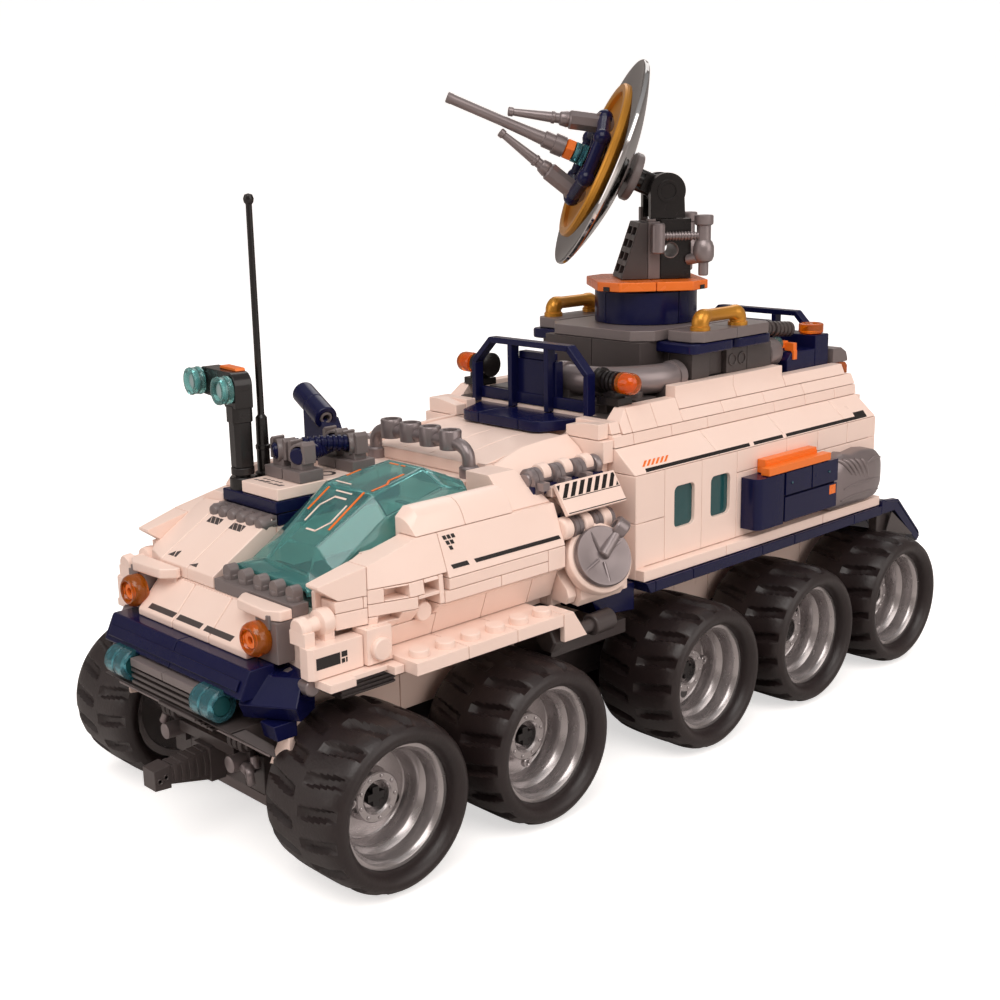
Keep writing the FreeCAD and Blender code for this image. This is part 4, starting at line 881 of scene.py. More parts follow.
for x in (-12.2, -4.4):
    for y in (21.2, 38.0):
        d = np.array((10.3 if (x < -8) == (y < 30) else -10.3, 22.0, 0.0))
        clips += [block(x - 3.7, x + 3.7, y - 3.7, y + 3.7, 83.5, 86.4),
                  block(x - 2.3, x + 2.3, y - 2.0, y + 2.0, 86.3, 88.2),
                  ringed([(2.2, -1.9), (2.2, 1.9), (2.9, 1.9), (3.0, 1.5), (3.0, -1.5), (2.9, -1.9)], (x, y, 90.1),
                         d, 24)]
        for s in (-1, 1):
            jaw = ((2.2, 88.0), (3.4, 88.0), (3.4, 92.8), (2.6, 93.6), (1.9, 93.4), (2.3, 91.0))
            clips.append(carried([(x + reach * s, z) for reach, z in jaw], 1, y - 1.9, y + 1.9))
put("deckClips", clips, midGreyPlastic, instead=["deck_clips"], bevel=0.2)

# canopy rows: station, height of the low edge, then inset and height of the knee and of the top edge
canopyRows = np.array([(-4.6, 66.2, 0.4, 67.2, 1.2, 68.2), (1.0, 66.2, 0.8, 68.4, 7.4, 69.6),
                       (4.0, 66.4, 1.2, 70.4, 8.8, 74.6), (20.0, 75.0, 1.6, 80.0, 6.4, 85.0),
                       (38.0, 80.4, 1.4, 84.4, 9.3, 88.0), (44.9, 81.4, 0.6, 82.8, 2.0, 84.4)])


def canopySheet():
    # six corners a row, mirrored about the canopy's own middle; the sheet gets its wall from a modifier
    y, low, kneeIn, kneeZ, topIn, topZ = canopyRows.T
    half = 15.7 + y * 0
    x = np.stack([-half, kneeIn - half, topIn - half, half - topIn, half - kneeIn, half], axis=1) + 16
    z = np.stack([low, kneeZ, topZ, topZ, kneeZ, low], axis=1)
    points = np.stack([x, np.repeat(y[:, None], 6, axis=1), z], axis=-1)
    return points.reshape(-1, 3), gridFaces(len(y), 6, closed=False)


canopy = put("canopyShell", canopySheet(), tealClear, body="canopy", instead=["canopy_glass"], smooth=10)
wall = canopy.modifiers.new("wall", "SOLIDIFY")
wall.thickness = 0.0013
wall.offset = -1
edge = canopy.modifiers.new("edge", "BEVEL")
edge.width = 0.0003
edge.segments = 2
edge.limit_method = "ANGLE"
edge.angle_limit = math.radians(14)
put("canopyHinge", [rod((6.0, 46.6, 82.6), (26.0, 46.6, 82.6), 1.5), rod((11.5, 46.6, 82.6), (20.5, 46.6, 82.6), 1.8),
                    block(12.1, 19.9, 44.9, 46.6, 81.6, 83.6)], midGreyPlastic, body="canopy",
    instead=["canopy_hinge"], smooth=35)


def lineOn(corners, path, width):
    # a thin printed line: path in shares of a facet's two edges, drawn as short bars 0.12 thick in its plane
    o, p, q = (np.array(c, float) for c in corners)
    u, v = p - o, q - o
    n = np.cross(u, v) / np.linalg.norm(np.cross(u, v))
    spots = [o + u * s + v * t for s, t in path]
    out = []
    for a, b in zip(spots, spots[1:]):
        d = (b - a) / np.linalg.norm(b - a)
        w = np.cross(n, d) * width / 2
        a, b = a - d * width * 0.4, b + d * width * 0.4
        out.append(extruded([a - w + n * 0.02, b - w + n * 0.02, b + w + n * 0.02, a + w + n * 0.02], n * 0.12))
    return out


screen = ((9.1, 4.0, 74.6), (22.9, 4.0, 74.6), (9.1, 20.0, 85.0))
roofGlass = ((6.7, 20.0, 85.0), (25.3, 20.0, 85.0), (6.7, 38.0, 88.0))
whiteLines = ((screen, [(0.22, 0.34), (0.22, 0.62), (0.40, 0.80), (0.70, 0.80)], 0.5),
              (screen, [(0.86, 0.70), (0.86, 0.40), (0.68, 0.22), (0.44, 0.22)], 0.5),
              (screen, [(0.30, 0.90), (0.72, 0.90)], 0.4), (roofGlass, [(0.14, 0.08), (0.44, 0.08)], 0.45))
orangeLines = ((screen, [(0.97, 0.30), (0.97, 0.96)], 0.7), (screen, [(0.04, 0.52), (0.04, 0.92)], 0.6),
               (roofGlass, [(0.93, 0.05), (0.93, 0.30), (0.84, 0.42), (0.84, 0.66)], 0.6),
               (roofGlass, [(0.10, 0.30), (0.10, 0.52)], 0.6), (roofGlass, [(0.30, 0.90), (0.46, 0.90)], 0.5),
               (roofGlass, [(0.54, 0.90), (0.60, 0.90)], 0.5))
for name, lines, material in (("canopyLines", whiteLines, whitePlastic), ("canopyTrim", orangeLines, orangePlastic)):
    put(name, [bar for line in lines for bar in lineOn(*line)], material, body="canopy", smooth=30)

roof = [block(-22.0, -0.1, 49.7, 59.9, 74.0, 81.6), block(0.1, 22.0, 49.7, 59.9, 74.0, 81.6),
        block(-22, 22, 60.0, 89.5, 78.0, 84.7)]
arcY = np.linspace(0, 1, 9)
slopeTop = [(60.0 + 26.0 * t, 84.8 + 3.2 * math.sin(t * math.pi / 2)) for t in arcY]
slopeTop += [(89.5, 88.0), (89.5, 84.8), (60.0, 84.8)]
roof += [carried(slopeTop, 0, x0, x1) for x0, x1 in spans(-22.0, -11.0, 0.0, 11.0, 22.0)]
wings = []
for y, top in ((62.1, 84.3), (67.0, 86.2), (72.0, 87.7), (80.0, 88.4), (89.4, 88.6)):
    wings.append([(22.1, y, 78.1), (22.1, y, top), (23.2, y, top), (27.4, y, top - 2.9), (31.6, y, top - 7.6),
                  (31.6, y, 78.1)])
roof += [block(-33.9, 33.9, 62.1, 89.5, 74.0, 78.0), bothSides(lofted(np.array(wings))),
         block(-19.0, 19.0, 57.6, 59.9, 81.7, 85.0)]
put("cabRoof", roof, whitePlastic, instead=["cab_roof"], bevel=0.2)
arch = rounded([(-19, 56.8, 81.6), (-19, 56.8, 90), (19, 56.8, 90), (19, 56.8, 81.6)], 6.5, 10)
pipes = [swept(arch, 1.75, 20)]
for x in (-12.0, -4.0, 4.0, 12.0):
    pipes.append(turned([(2.1, -2.4), (2.9, -2.2), (3.0, 2.6), (2.8, 2.9), (1.9, 2.9), (1.8, 1.4), (0, 1.4)],
                        (x, 56.8, 90.3), (0, 0, 1), 24))
for x in (-19.0, 19.0):
    pipes.append(turned([(2.6, 0), (2.6, 2.6), (2.2, 3.0), (1.7, 3.0)], (x, 56.8, 81.6), (0, 0, 1), 24))
fat = rounded([(4.0, 108.0, 99.8), (17.0, 109.0, 99.8), (25.5, 122.0, 99.8), (25.5, 132.8, 99.8)], 9.0, 10)
pipes += [swept(fat, 4.1, 32), ringed([(3.2, -1.6), (3.2, 1.6), (4.6, 1.6), (4.9, 1.2), (4.9, -1.2), (4.6, -1.6)],
                                      fat[0], fat[1] - fat[0], 32),
          ringed([(3.2, -1.2), (3.2, 1.2), (4.5, 1.2), (4.5, -1.2)], fat[-1] - (0, 2, 0), (0, 1, 0), 32),
          block(4.2, 8.8, 105.2, 110.8, 92.7, 97.0)]
put("silverPipes", pipes, silverPlastic, instead=["silver_pipes"], smooth=40)
print("deck and canopy made")


# Middle section: ringed rollers, striped plate, lever disc and the bracket under it
silverRows, whiteRows = [], []
for y in (64.6, 72.6, 80.6):
    silverRows += [turned([(2.5, 0), (2.95, 0.3), (2.95, 1.75), (2.6, 1.85), (2.95, 1.95), (2.95, 3.4), (2.5, 3.7)],
                          (34.0, y - 1.85, 82.0), (0, 1, 0), 28),
                   block(33.6, 37.0, y - 1.5, y + 1.5, 77.2, 81.4), block(36.6, 39.4, y - 1.2, y + 1.2, 79.8, 81.8)]
    whiteRows += [turned([(2.2, 0), (2.6, 0.3), (2.6, 3.0), (2.2, 3.3)], (33.4, y + 2.4, 82.9), (0, 1, 0), 24),
                  block(34.4, 38.6, y + 2.6, y + 5.4, 77.4, 80.0)]
silverRows += [rod((34.0, 62.1, 82.0), (34.0, 88.6, 82.0), 1.9, 20),
               turned([(2.6, 0), (2.95, 0.5), (2.95, 1.6), (2.3, 2.4), (0, 2.7)],
               (34.0, 86.6, 82.0), (0, 1, 0), 28)]
for y in (71.8, 79.2):
    silverRows += [turned([(2.4, 0), (2.9, 0.3), (2.9, 1.5), (2.55, 1.6), (2.9, 1.7), (2.9, 3.1), (2.4, 3.4)],
                          (41.5, y - 1.7, 69.5), (0, 1, 0), 28), block(38.6, 41.0, y - 1.3, y + 1.3, 70.0, 75.6)]
silverRows += [rod((41.5, 67.2, 69.5), (41.5, 85.6, 69.5), 1.8, 20),
               turned([(2.5, 0), (2.9, 0.4), (2.9, 1.4), (2.2, 2.0), (0, 2.2)], (41.5, 83.8, 69.5), (0, 1, 0), 28)]
for y in (68.2, 75.5, 82.6):
    whiteRows += [turned([(2.5, 0), (3.0, 0.4), (3.0, 2.9), (2.5, 3.3)], (41.5, y - 1.65, 69.6), (0, 1, 0), 28)]
put("sideRollers", bothSides(silverRows), silverPlastic, instead=["side_rollers"], smooth=35)
middle = [block(34.1, 36.4, 67.1, 89.5, 48.4, 76.6), block(36.4, 38.4, 67.1, 89.5, 48.4, 64.4),
          carried([(38.6, 80.6), (39.8, 81.2), (44.6, 73.8), (43.4, 73.1)], 1, 67.2, 89.5),
          carried([(36.0, 76.7), (36.0, 79.4), (39.0, 80.4), (42.0, 75.6), (39.4, 74.0)], 1, 70.0, 73.2),
          carried([(36.0, 76.7), (36.0, 79.4), (39.0, 80.4), (42.0, 75.6), (39.4, 74.0)], 1, 84.0, 87.2)]
arm = [(38.5, 49.4), (44.6, 48.9), (46.0, 51.0), (46.0, 53.6), (44.6, 54.6), (42.4, 60.8), (41.0, 65.0), (38.5, 65.0)]
middle += [carried(arm, 1, 70.2, 87.0),
           carried([(38.5, 50.4), (43.6, 50.0), (44.6, 52.0), (44.0, 54.0), (38.5, 60.0)], 1, 66.9, 70.0),
           carried([(38.5, 50.0), (44.8, 49.6), (44.8, 53.0), (38.5, 62.0)], 1, 87.1, 89.4),
           carried([(38.5, 61.0), (40.6, 61.0), (40.6, 65.0), (38.5, 65.0)], 1, 67.3, 70.1)]
disc = {"at": np.array((43.5, 77.0, 59.5)), "axis": np.array((0.86, -0.25, 0.44)) / np.linalg.norm((0.86, -0.25, 0.44))}
middle.append(ringed([(7.6, 1.6), (7.6, 4.9), (8.3, 5.2), (9.2, 4.6), (9.6, 3.0), (9.4, 1.6)], disc["at"],
                     disc["axis"], 48))
put("sideBrackets", bothSides(middle + whiteRows), whitePlastic, instead=["side_walls"], bevel=0.25)
hazard = ((39.8, 0, 81.2), (0, 1, 0), (-4.8, 0, 7.4))
stripes = [bar2d(67.6 + 2.9 * k, 69.2 + 2.9 * k, -4.2, -0.6, 3.0) for k in range(6)]
stripes += [[(85.0, -4.2), (86.6, -4.2), (88.9, -1.4), (88.9, -0.6), (88.0, -0.6)],
            [(87.9, -4.2), (88.9, -4.2), (88.9, -3.0)], [(67.4, -2.2), (67.4, -0.6), (68.6, -0.6)]]
hazardLines = [bar2d(67.6, 89.2, -8.5, -8.25), bar2d(67.6, 89.2, -4.6, -4.4)]
put("hazardStripes", bothSides(marked(*hazard, stripes + hazardLines)), blackPlastic, smooth=30)
lever = disc["at"] + disc["axis"] * 6.0
side = np.cross((0, 0, 1), disc["axis"])
side = side / np.linalg.norm(side)
rise = np.cross(disc["axis"], side)
reach = (side * 0.72 + rise * 0.70) * 9.4
discShapes = [turned([(2.5, 0), (2.5, 4.8), (7.5, 4.9), (8.0, 5.4), (8.0, 6.5), (7.7, 7.0), (7.0, 6.9), (4.6, 6.3),
                      (2.2, 5.9), (0, 5.7)],
                     disc["at"], disc["axis"], 48),
              ringed([(1.4, -1.7), (1.4, 1.7), (2.5, 1.7), (2.8, 1.3), (2.8, -1.3), (2.5, -1.7)], lever + reach,
                     rise - side, 28)]
for turn in (0.5, 1.9, 3.6, 4.7):
    way = side * math.cos(turn) + rise * math.sin(turn)
    discShapes.append(rod(lever + way * 1.5, lever + disc["axis"] * 0.55 + way * 7.3, 0.42, 8, 0.1))
discShapes.append(rod(lever, lever + reach * 0.82, 1.55, 16))
put("leverDiscs", bothSides(discShapes), silverPlastic, instead=["side_discs"], smooth=35)
wells = [block(34.3, 37.9, 68.0, 88.8, 66.0, 72.0), block(34.2, 36.8, 62.4, 88.8, 78.2, 80.6),
         carried([(79.0, 44.0), (93.4, 42.4), (93.4, 50.2), (76.0, 50.2)], 0, 30.0, 43.8)]
put("middleBacking", bothSides(wells), navyPlastic, bevel=0.25)
print("middle section made")


# Module: side courses, windows, strips, crates, pods, mudguard and the end walls
moduleFront, moduleRear, wallIn, wallOut = 93.7, 209.5, 40.2, 44.0
windowSpans = ((109.7, 118.5), (125.7, 134.5))
windowLow, windowHigh = 61.8, 73.6


def roundedOutline(x0, x1, y0, y1, radius, steps=5):
    # a rectangle with a quarter circle at each corner, anticlockwise from the far one
    a = np.linspace(0, np.pi / 2, steps)
    left, right, low, high = x0 + radius, x1 - radius, y0 + radius, y1 - radius
    out = []
    for k, (cx, cy) in enumerate(((right, high), (left, high), (left, low), (right, low))):
        out += list(zip(cx + radius * np.cos(a + k * np.pi / 2), cy + radius * np.sin(a + k * np.pi / 2)))
    return out


def frameRound(y0, y1, z0, z1, hole, radius, x0, x1, steps=5):
    # a slab with a rounded window: outer and inner outlines with as many points, joined as one closed band;
    # the outer points that share a corner stand 0.002 apart
    inner = np.array(roundedOutline(*hole, radius, steps))
    t = np.linspace(0, 1, steps)[:, None]
    outer = np.concatenate([np.repeat([(y, z)], steps, axis=0) + t * np.array(step) * 0.002
                            for y, z, step in ((y1, z1, (-1, 0)), (y0, z1, (0, -1)), (y0, z0, (1, 0)),
                                               (y1, z0, (0, 1)))])
    bands = [np.insert(line, 0, x, axis=1) for line, x in ((outer, x1), (inner, x1), (inner, x0), (outer, x0))]
    count = 4 * len(inner)
    faces = [tuple(i % count for i in face[::-1]) for face in gridFaces(5, len(inner))]
    return np.concatenate(bands), faces


sides = [block(wallIn, wallOut, moduleFront + seam, 105.6 - seam, z0, z1)
         for z0, z1 in ((66.0 + seam, 79.2 - seam), (53.6 + seam, 66.0 - seam))]
for (w0, w1), (y0, y1) in zip(windowSpans, spans(105.6, 121.6, 137.6)):
    hole = (w0, w1, windowLow, windowHigh)
    sides.append(frameRound(y0, y1, 53.6 + seam, 79.2 - seam, hole, 1.7, wallIn, wallOut))
for edges, z0, z1 in (((137.6, 161.6, 177.6, 193.6, 209.6), 72.8, 79.2), ((137.6, 153.6, 181.6, 209.6), 53.6, 72.8)):
    sides += [block(wallIn, wallOut, y0, y1, z0 + seam, z1 - seam) for y0, y1 in spans(*edges)]
shoulder = [(40.2, 79.3), (43.95, 79.3), (36.55, 85.5), (32.4, 85.5)]
for y0, y1 in spans(moduleFront, 129.6, 161.6, 193.6, moduleRear):
    sides.append(carried(shoulder, 1, y0, y1))
for y0, y1 in spans(moduleFront, 101.6, 117.6, 133.6, 165.6, 181.6, 197.6, moduleRear):
    sides.append(carried([(32.2, 85.7), (36.5, 85.7), (36.05, 88.7), (32.2, 88.7)], 1, y0, y1))
nearRing = [(29.2, 97.8, 88.9), (35.9, 97.8, 88.9), (34.5, 97.8, 91.6), (29.2, 97.8, 91.6)]
farRing = [(29.2, 101.5, 88.9), (35.9, 101.5, 88.9), (33.0, 101.5, 95.3), (29.2, 101.5, 95.3)]
sides.append(lofted(np.array([nearRing, farRing])))
for y0, y1 in spans(101.6, 112.0, 123.0):
    sides.append(carried([(29.2, 88.9), (36.0, 88.9), (33.0, 95.3), (29.2, 95.3)], 1, y0, y1))
for y0, y1 in spans(123.0, 149.6, 173.9):
    sides.append(carried([(29.2, 92.2), (34.45, 92.2), (32.9, 95.5), (32.9, 98.5), (29.2, 98.5)], 1, y0, y1))
for y0, y1 in spans(123.0, 141.6, 161.6, 181.6):
    sides.append(carried([(29.2, 88.9), (36.0, 88.9), (34.5, 92.0), (29.2, 92.0)], 1, y0, y1))
sides += [carried([(29.2, 92.2), (34.4, 92.2), (33.0, 95.3), (29.2, 95.3)], 1, 174.1, 205.9),
          carried([(29.2, 88.9), (36.0, 88.9), (34.5, 92.0), (29.2, 92.0)], 1, 181.7, 209.4)]
put("moduleSides", bothSides(sides), whitePlastic, instead=["module_sides"], bevel=0.18)
glass = [block(41.9, 42.9, w0 - 0.4, w1 + 0.4, windowLow - 0.4, windowHigh + 0.4) for w0, w1 in windowSpans]
put("moduleWindows", bothSides(glass), darkGlass, instead=["module_glass"], bevel=0.1)
dark = [block(34.0, 35.0, 106.0, 137.0, 58.0, 78.0)]
for y0, z0 in ((111.0, 63.0), (115.4, 66.0), (127.0, 62.5), (131.0, 68.0)):
    dark.append(block(35.0, 38.6, y0, y0 + 2.8, z0, z0 + 4.6))
put("moduleInside", bothSides(dark), darkGreyPlastic, bevel=0.2)
slant = ((44.0, 0, 79.2), (0, 1, 0), (-7.5, 0, 6.4))
stripe = [bar2d(98.2, 144.0, 0.5, 1.7, 0.6), bar2d(146.0, 160.2, 0.5, 1.7, 0.6), bar2d(161.9, 205.0, 0.5, 1.7, 0.6),
          bar2d(199.4, 205.4, 1.7, 3.2, 0.5)]
put("moduleStripe", bothSides(marked(*slant, stripe)), blackPlastic, smooth=30)
ticks = [bar2d(98.2 + 1.8 * k, 99.2 + 1.8 * k, 2.4, 4.2, 2.5) for k in range(6)]
put("moduleTicks", bothSides(marked(*slant, ticks)), orangePlastic, smooth=30)

strips = [block(wallIn, 46.9, y0, y1, 50.5, 53.5) for y0, y1 in spans(moduleFront, 129.6, 177.6, moduleRear)]
put("whiteStrips", bothSides(strips), whitePlastic, bevel=0.22)
strips = [block(wallIn, 47.9, y0, y1, 47.3, 50.3) for y0, y1 in spans(97.6, 113.6, 145.6, 161.6, 193.6, moduleRear)]
strips.append(carried([(93.8, 50.3), (97.5, 50.3), (97.5, 47.3), (95.6, 47.3)], 0, wallIn, 47.9))
put("navyStrips", bothSides(strips), navyPlastic, instead=["body_strips"], bevel=0.22)

crate = {"front": 139.5, "split": 165.8, "back": 179.3, "low": 56.1, "mid": 64.2, "top": 71.2}
arc = np.linspace(0, np.pi / 2, 5)
plan = [(48.0 + 2.3 * math.sin(a), crate["front"] + 2.3 - 2.3 * math.cos(a)) for a in arc]
plan = [(44.1, crate["front"])] + plan + [(50.3, 151.8), (49.0, 152.4), (44.1, 152.4)]
crates = [carried(plan, 2, crate["low"], crate["top"]),
          block(44.1, 49.2, 152.4, crate["back"], crate["low"], crate["top"] - 0.4),
          block(49.0, 50.2, 152.7, crate["back"], crate["low"] + 0.3, crate["mid"] - 0.4),
          block(49.0, 50.4, 152.7, crate["split"] - 0.3, crate["mid"] + 0.3, crate["top"]),
          block(49.0, 50.4, crate["split"] + 0.3, crate["back"], crate["mid"] + 0.3, crate["top"])]
for y in (155.6, 168.0):
    crates.append(rod((50.2, y, 67.9), (50.5, y, 67.9), 0.55, 16, 0.1))
put("sideCrates", bothSides(crates), navyPlastic, instead=["side_crates"], bevel=0.4)
put("crateKnobs", bothSides([rod((50.3, y, 67.9), (50.75, y, 67.9), 0.4, 14, 0.1) for y in (155.6, 174.6)]),
    tealLens, smooth=30)
crateBars = [block(44.1, 47.0, 147.0, 172.6, 71.4, 75.4), block(47.2, 50.2, 144.6, 175.6, 71.4, 73.6),
             block(46.4, 47.4, 147.2, 172.4, 71.6, 74.6)]
crateBars.append(block(50.1, 50.32, 175.4, 178.6, 60.6, 63.4))
put("crateBars", bothSides(crateBars), orangePlastic, bevel=0.25)

podRows = []
for y, out, low, high in ((179.5, 4.6, 54.6, 68.0), (181.0, 5.6, 54.0, 70.0), (186.0, 5.8, 53.8, 71.4),
                          (190.0, 6.0, 53.8, 70.6), (196.0, 6.0, 53.8, 71.2), (201.0, 5.6, 53.8, 70.6),
                          (205.0, 4.8, 54.4, 69.6), (208.4, 3.3, 56.0, 67.6), (moduleRear, 2.4, 58.0, 66.4)):
    a = np.linspace(-np.pi / 2, np.pi / 2, 17)
    z = (low + high) / 2 + (high - low) / 2 * np.sign(np.sin(a)) * np.abs(np.sin(a)) ** 0.6
    x = 44.1 + out * np.cos(a) ** 0.5
    podRows.append(np.concatenate([[(43.9, y, low)], np.stack([x, y + 0 * a, z], axis=1), [(43.9, y, high)]]))
pods = [lofted(np.array(podRows))]
podOut = ((179.5, 181, 190, 199, 205, 208.4), (4.6, 5.7, 6.0, 5.8, 4.8, 3.3))
for k in range(5):
    # raised fins curve down and back from the upper front edge
    t = np.linspace(0, 1, 14)
    y = 181.4 + 2.9 * k + (6.5 - 0.6 * k) * t
    z = 69.9 - 0.3 * k - (5.2 + 0.3 * k) * t ** 1.7
    x = 43.9 + np.interp(y, *podOut) * np.clip(1 - (np.abs(z - 62.3) / 8.9) ** 5, 0, 1) ** 0.5
    pods.append(swept(np.stack([x, y, z], axis=1), 0.75 * np.sin(np.clip(t, 0.08, 0.92) * np.pi) ** 0.5 + 0.05, 10))
for z0, y0, y1 in ((66.8, 196.0, 207.0), (57.0, 183.0, 205.0), (60.6, 184.0, 206.0)):
    t = np.linspace(0, 1, 14)
    y = y0 + (y1 - y0) * t
    x = 43.95 + np.interp(y, *podOut) * (1 - (abs(z0 - 62.3) / 8.9) ** 5) ** 0.5
    pods.append(swept(np.stack([x, y, z0 + 0.9 * np.sin(t * np.pi)], axis=1),
                      0.5 * np.sin(np.clip(t, 0.06, 0.94) * np.pi) ** 0.5 + 0.05, 10))
put("sidePods", bothSides(pods), silverPlastic, instead=["side_pods"], smooth=40)

guardTop = [(209.6, 51.9), (219.0, 49.9), (233.9, 35.7), (232.2, 34.0), (217.4, 47.4), (209.6, 47.4)]
guard = [carried(guardTop, 0, x0, x1) for x0, x1 in spans(-47.9, -32, -16, 0, 16, 32, 47.9)]
guard += [bothSides(carried([(212.0, 51.6), (219.4, 50.8), (232.8, 37.8), (233.8, 36.0), (219.2, 49.8),
                             (212.0, 51.2)], 0, 45.6, 47.9))]
put("rearGuard", guard, navyPlastic, instead=["rear_guard"], bevel=0.25)
flank = carried([(209.7, 47.3), (216.8, 47.3), (229.0, 36.2), (224.0, 36.2), (209.7, 41.0)], 0, 43.0, 46.0)
cheek = extruded([(47.2, 216.0, 47.2), (47.2, 230.6, 36.4), (47.2, 213.0, 41.0)], (0.6, 0, 0))
put("guardFlanks", bothSides([flank, cheek]), darkGreyPlastic, bevel=0.25)

frontOutlines = (((0, 50.5), (43.9, 50.5), (43.9, 66.0), (0, 66.0)),
                 ((0, 66.1), (43.9, 66.1), (43.9, 79.0), (0, 79.0)),
                 ((0, 79.2), (43.8, 79.2), (36.5, 85.5), (0, 85.5)),
                 ((0, 85.7), (36.4, 85.7), (35.6, 89.1), (22.0, 89.1), (21.8, 88.3), (0, 88.3)),
                 ((22.0, 89.3), (35.4, 89.3), (34.3, 92.4), (22.0, 92.4)))
ends = [carried(outline, 1, moduleFront, 97.4) for outline in frontOutlines]
ends.append(block(0, 24.0, 99.5, 100.6, 89.3, 92.4))
ends += [carried(((22.2, 88.2), (34.2, 88.2), (34.2, 92.4), (30.0, 92.4), (22.2, 91.2)), 1, 89.7, 93.6),
         block(22.2, 36.0, 89.7, 93.6, 82.0, 88.0), block(0, 34, 89.7, 93.6, 74.0, 81.9)]
for y0, y1, z0, z1 in ((209.6, 212.9, 52.1, 60.0), (209.6, 212.9, 77.0, 84.9)):
    ends.append(block(0, 35.9, y0, y1, z0, z1))
ends += [block(22.0, 35.9, 209.6, 212.9, 60.2, 76.8), block(0.1, 21.8, 209.6, 211.6, 60.2, 76.8),
         block(1.5, 19.5, 211.4, 212.6, 62.0, 75.0), block(36.1, 43.8, 205.8, moduleRear, 54.0, 79.0),
         carried(((0, 79.2), (40.0, 79.2), (33.6, 85.5), (0, 85.5)), 1, 205.8, 209.4),
         carried(((0, 85.7), (31.8, 85.7), (30.8, 89.2), (0, 89.2)), 1, 205.8, moduleRear),
         block(0, 39.8, 98.0, 205.6, 50.5, 53.4)]
put("moduleEnds", bothSides(ends), whitePlastic, instead=["module_ends"], bevel=0.22)
doorBits = [turned([(1.5, 0), (1.5, 0.35), (1.1, 0.6), (0, 0.6)], (17.0, 212.5, 68.4), (0, 1, 0), 20)]
doorBits += [block(3.2, 14.2, 212.4, 212.8, 63.4 + 1.9 * k, 64.3 + 1.9 * k) for k in range(6)]
put("rearDoorBits", bothSides(doorBits), midGreyPlastic, bevel=0.12)
print("module made")


# Roof: plates with studs, railings, beacons, dark bricks, carrier plates, handles, drum and rear boxes
roofPlates = [block(x0, x1, y0, y1 - seam, 89.5, 92.5) for x0, x1 in spans(-24, -8, 8, 24)
              for y0, y1 in ((100.7, 113.6), (113.7, 129.6))]
roofPlates += [block(x0, x0 + 4.8, 97.7, 209.4, 89.5, 92.5) for x0 in (-28.9, 24.1)]
roofPlates += [block(-24 + 16 * i + seam, -8 + 16 * i - seam, 129.6 + 20 * k + seam, 149.6 + 20 * k - seam, 89.5, 92.5)
               for i in range(3) for k in range(4)]
roofPlates += [studAt(x, y, 92.45) for x in (-20, -12, -4, 12, 20) for y in (103.6, 111.6, 119.6)
               if not (x > 8 and y > 104)]
roofPlates += [studAt(x, y, 92.45) for x in (-12, -4, 4, 12) for y in (181.6, 189.6, 197.6, 205.0)]
roofPlates += [block(-22.0, -10.0, 103.0, 121.0, 92.6, 95.6), block(11.0, 25.0, 103.0, 107.6, 92.6, 95.6),
               block(12.0, 28.0, 112.0, 120.6, 92.6, 95.4), studAt(24.0, 116.0, 95.3), studAt(16.0, 116.0, 95.3)]
put("roofTiles", roofPlates, darkGreyPlastic, instead=["module_roof"], bevel=0.2)

# railing = flat bars cut from one outline: x by z, mirrored about the middle
rails = []
slant = [(23.3, 103.8), (15.8, 111.1), (15.2, 109.4), (21.6, 103.1)]
for y, back in ((98.8, 1), (206.0, -1)):
    rails += [bothSides([carried([(21.6, 91.6), (23.3, 91.6), (23.3, 103.8), (21.6, 103.1)], 1, y - 1.6, y + 1.6),
                                carried(slant, 1, y - 1.6, y + 1.6), block(6.4, 8.1, y - 1.6, y + 1.6, 91.6, 109.5)]),
              carried([(-15.8, 111.1), (-15.2, 109.4), (15.2, 109.4), (15.8, 111.1)], 1, y - 1.6, y + 1.6)]
    low, high = sorted((y + 0.4 * back, y + 1.8 * back))
    rails.append(block(-21.5, 21.5, low, high, 92.6, 95.9))
    low, high = sorted((y + 1.0 * back, y + 4.0 * back))
    rails += [block(-8.8, 8.8, low, high, 92.7, 105.6),
              block(-6.4, 6.4, low + back * 0.4, high + back * 0.4, 105.6, 107.6)]
put("railings", rails, navyPlastic, instead=["railings"], bevel=0.22)

beaconParts, sleeves = [], []
for side in (-1, 1):
    bulb = [(2.2, 0), (2.9, 0.3), (3.0, 1.0), (3.0, 4.0), (2.8, 5.0), (2.2, 5.8), (1.2, 6.25), (0, 6.35)]
    beaconParts.append(turned(bulb, (side * 29.2, 104.0, 101.5), (side, 0, 0), 32))
    rings = [(1.4, 0)]
    for k in range(4):
        rings += [(2.9, 0.1 + 1.5 * k), (2.9, 1.0 + 1.5 * k), (2.4, 1.1 + 1.5 * k), (2.4, 1.5 + 1.5 * k)]
    sleeves += [turned(rings + [(2.0, 6.2)], (side * 23.0, 104.0, 101.5), (side, 0, 0), 28),
                rod((side * 27.0, 104.0, 95.4), (side * 27.0, 104.0, 99.5), 2.0, 20),
                block(side * 27 - 3.9, side * 27 + 3.9, 101.1, 106.9, 95.4, 97.4),
                block(side * 27 - 2.2, side * 27 + 2.2, 102.0, 106.0, 97.2, 98.8),
                turned([(2.4, 0), (3.6, 0.3), (3.6, 1.5), (2.4, 1.8)], (side * 21.4, 104.0, 101.5), (side, 0, 0), 28)]
tails = [carried([(209.7, 90.6), (209.7, 94.8), (213.2, 94.8), (214.4, 93.6), (214.4, 91.4), (213.6, 90.6)], 0,
                 22.4, 29.6)]
tailCaps = [bothSides(carried([(206.0, 95.0), (206.0, 99.8), (210.6, 99.8), (213.4, 98.2), (214.4, 95.8),
                               (214.2, 95.0)], 0, 22.2, 29.8))]
put("tailCaps", tailCaps, midGreyPlastic, bevel=0.3)
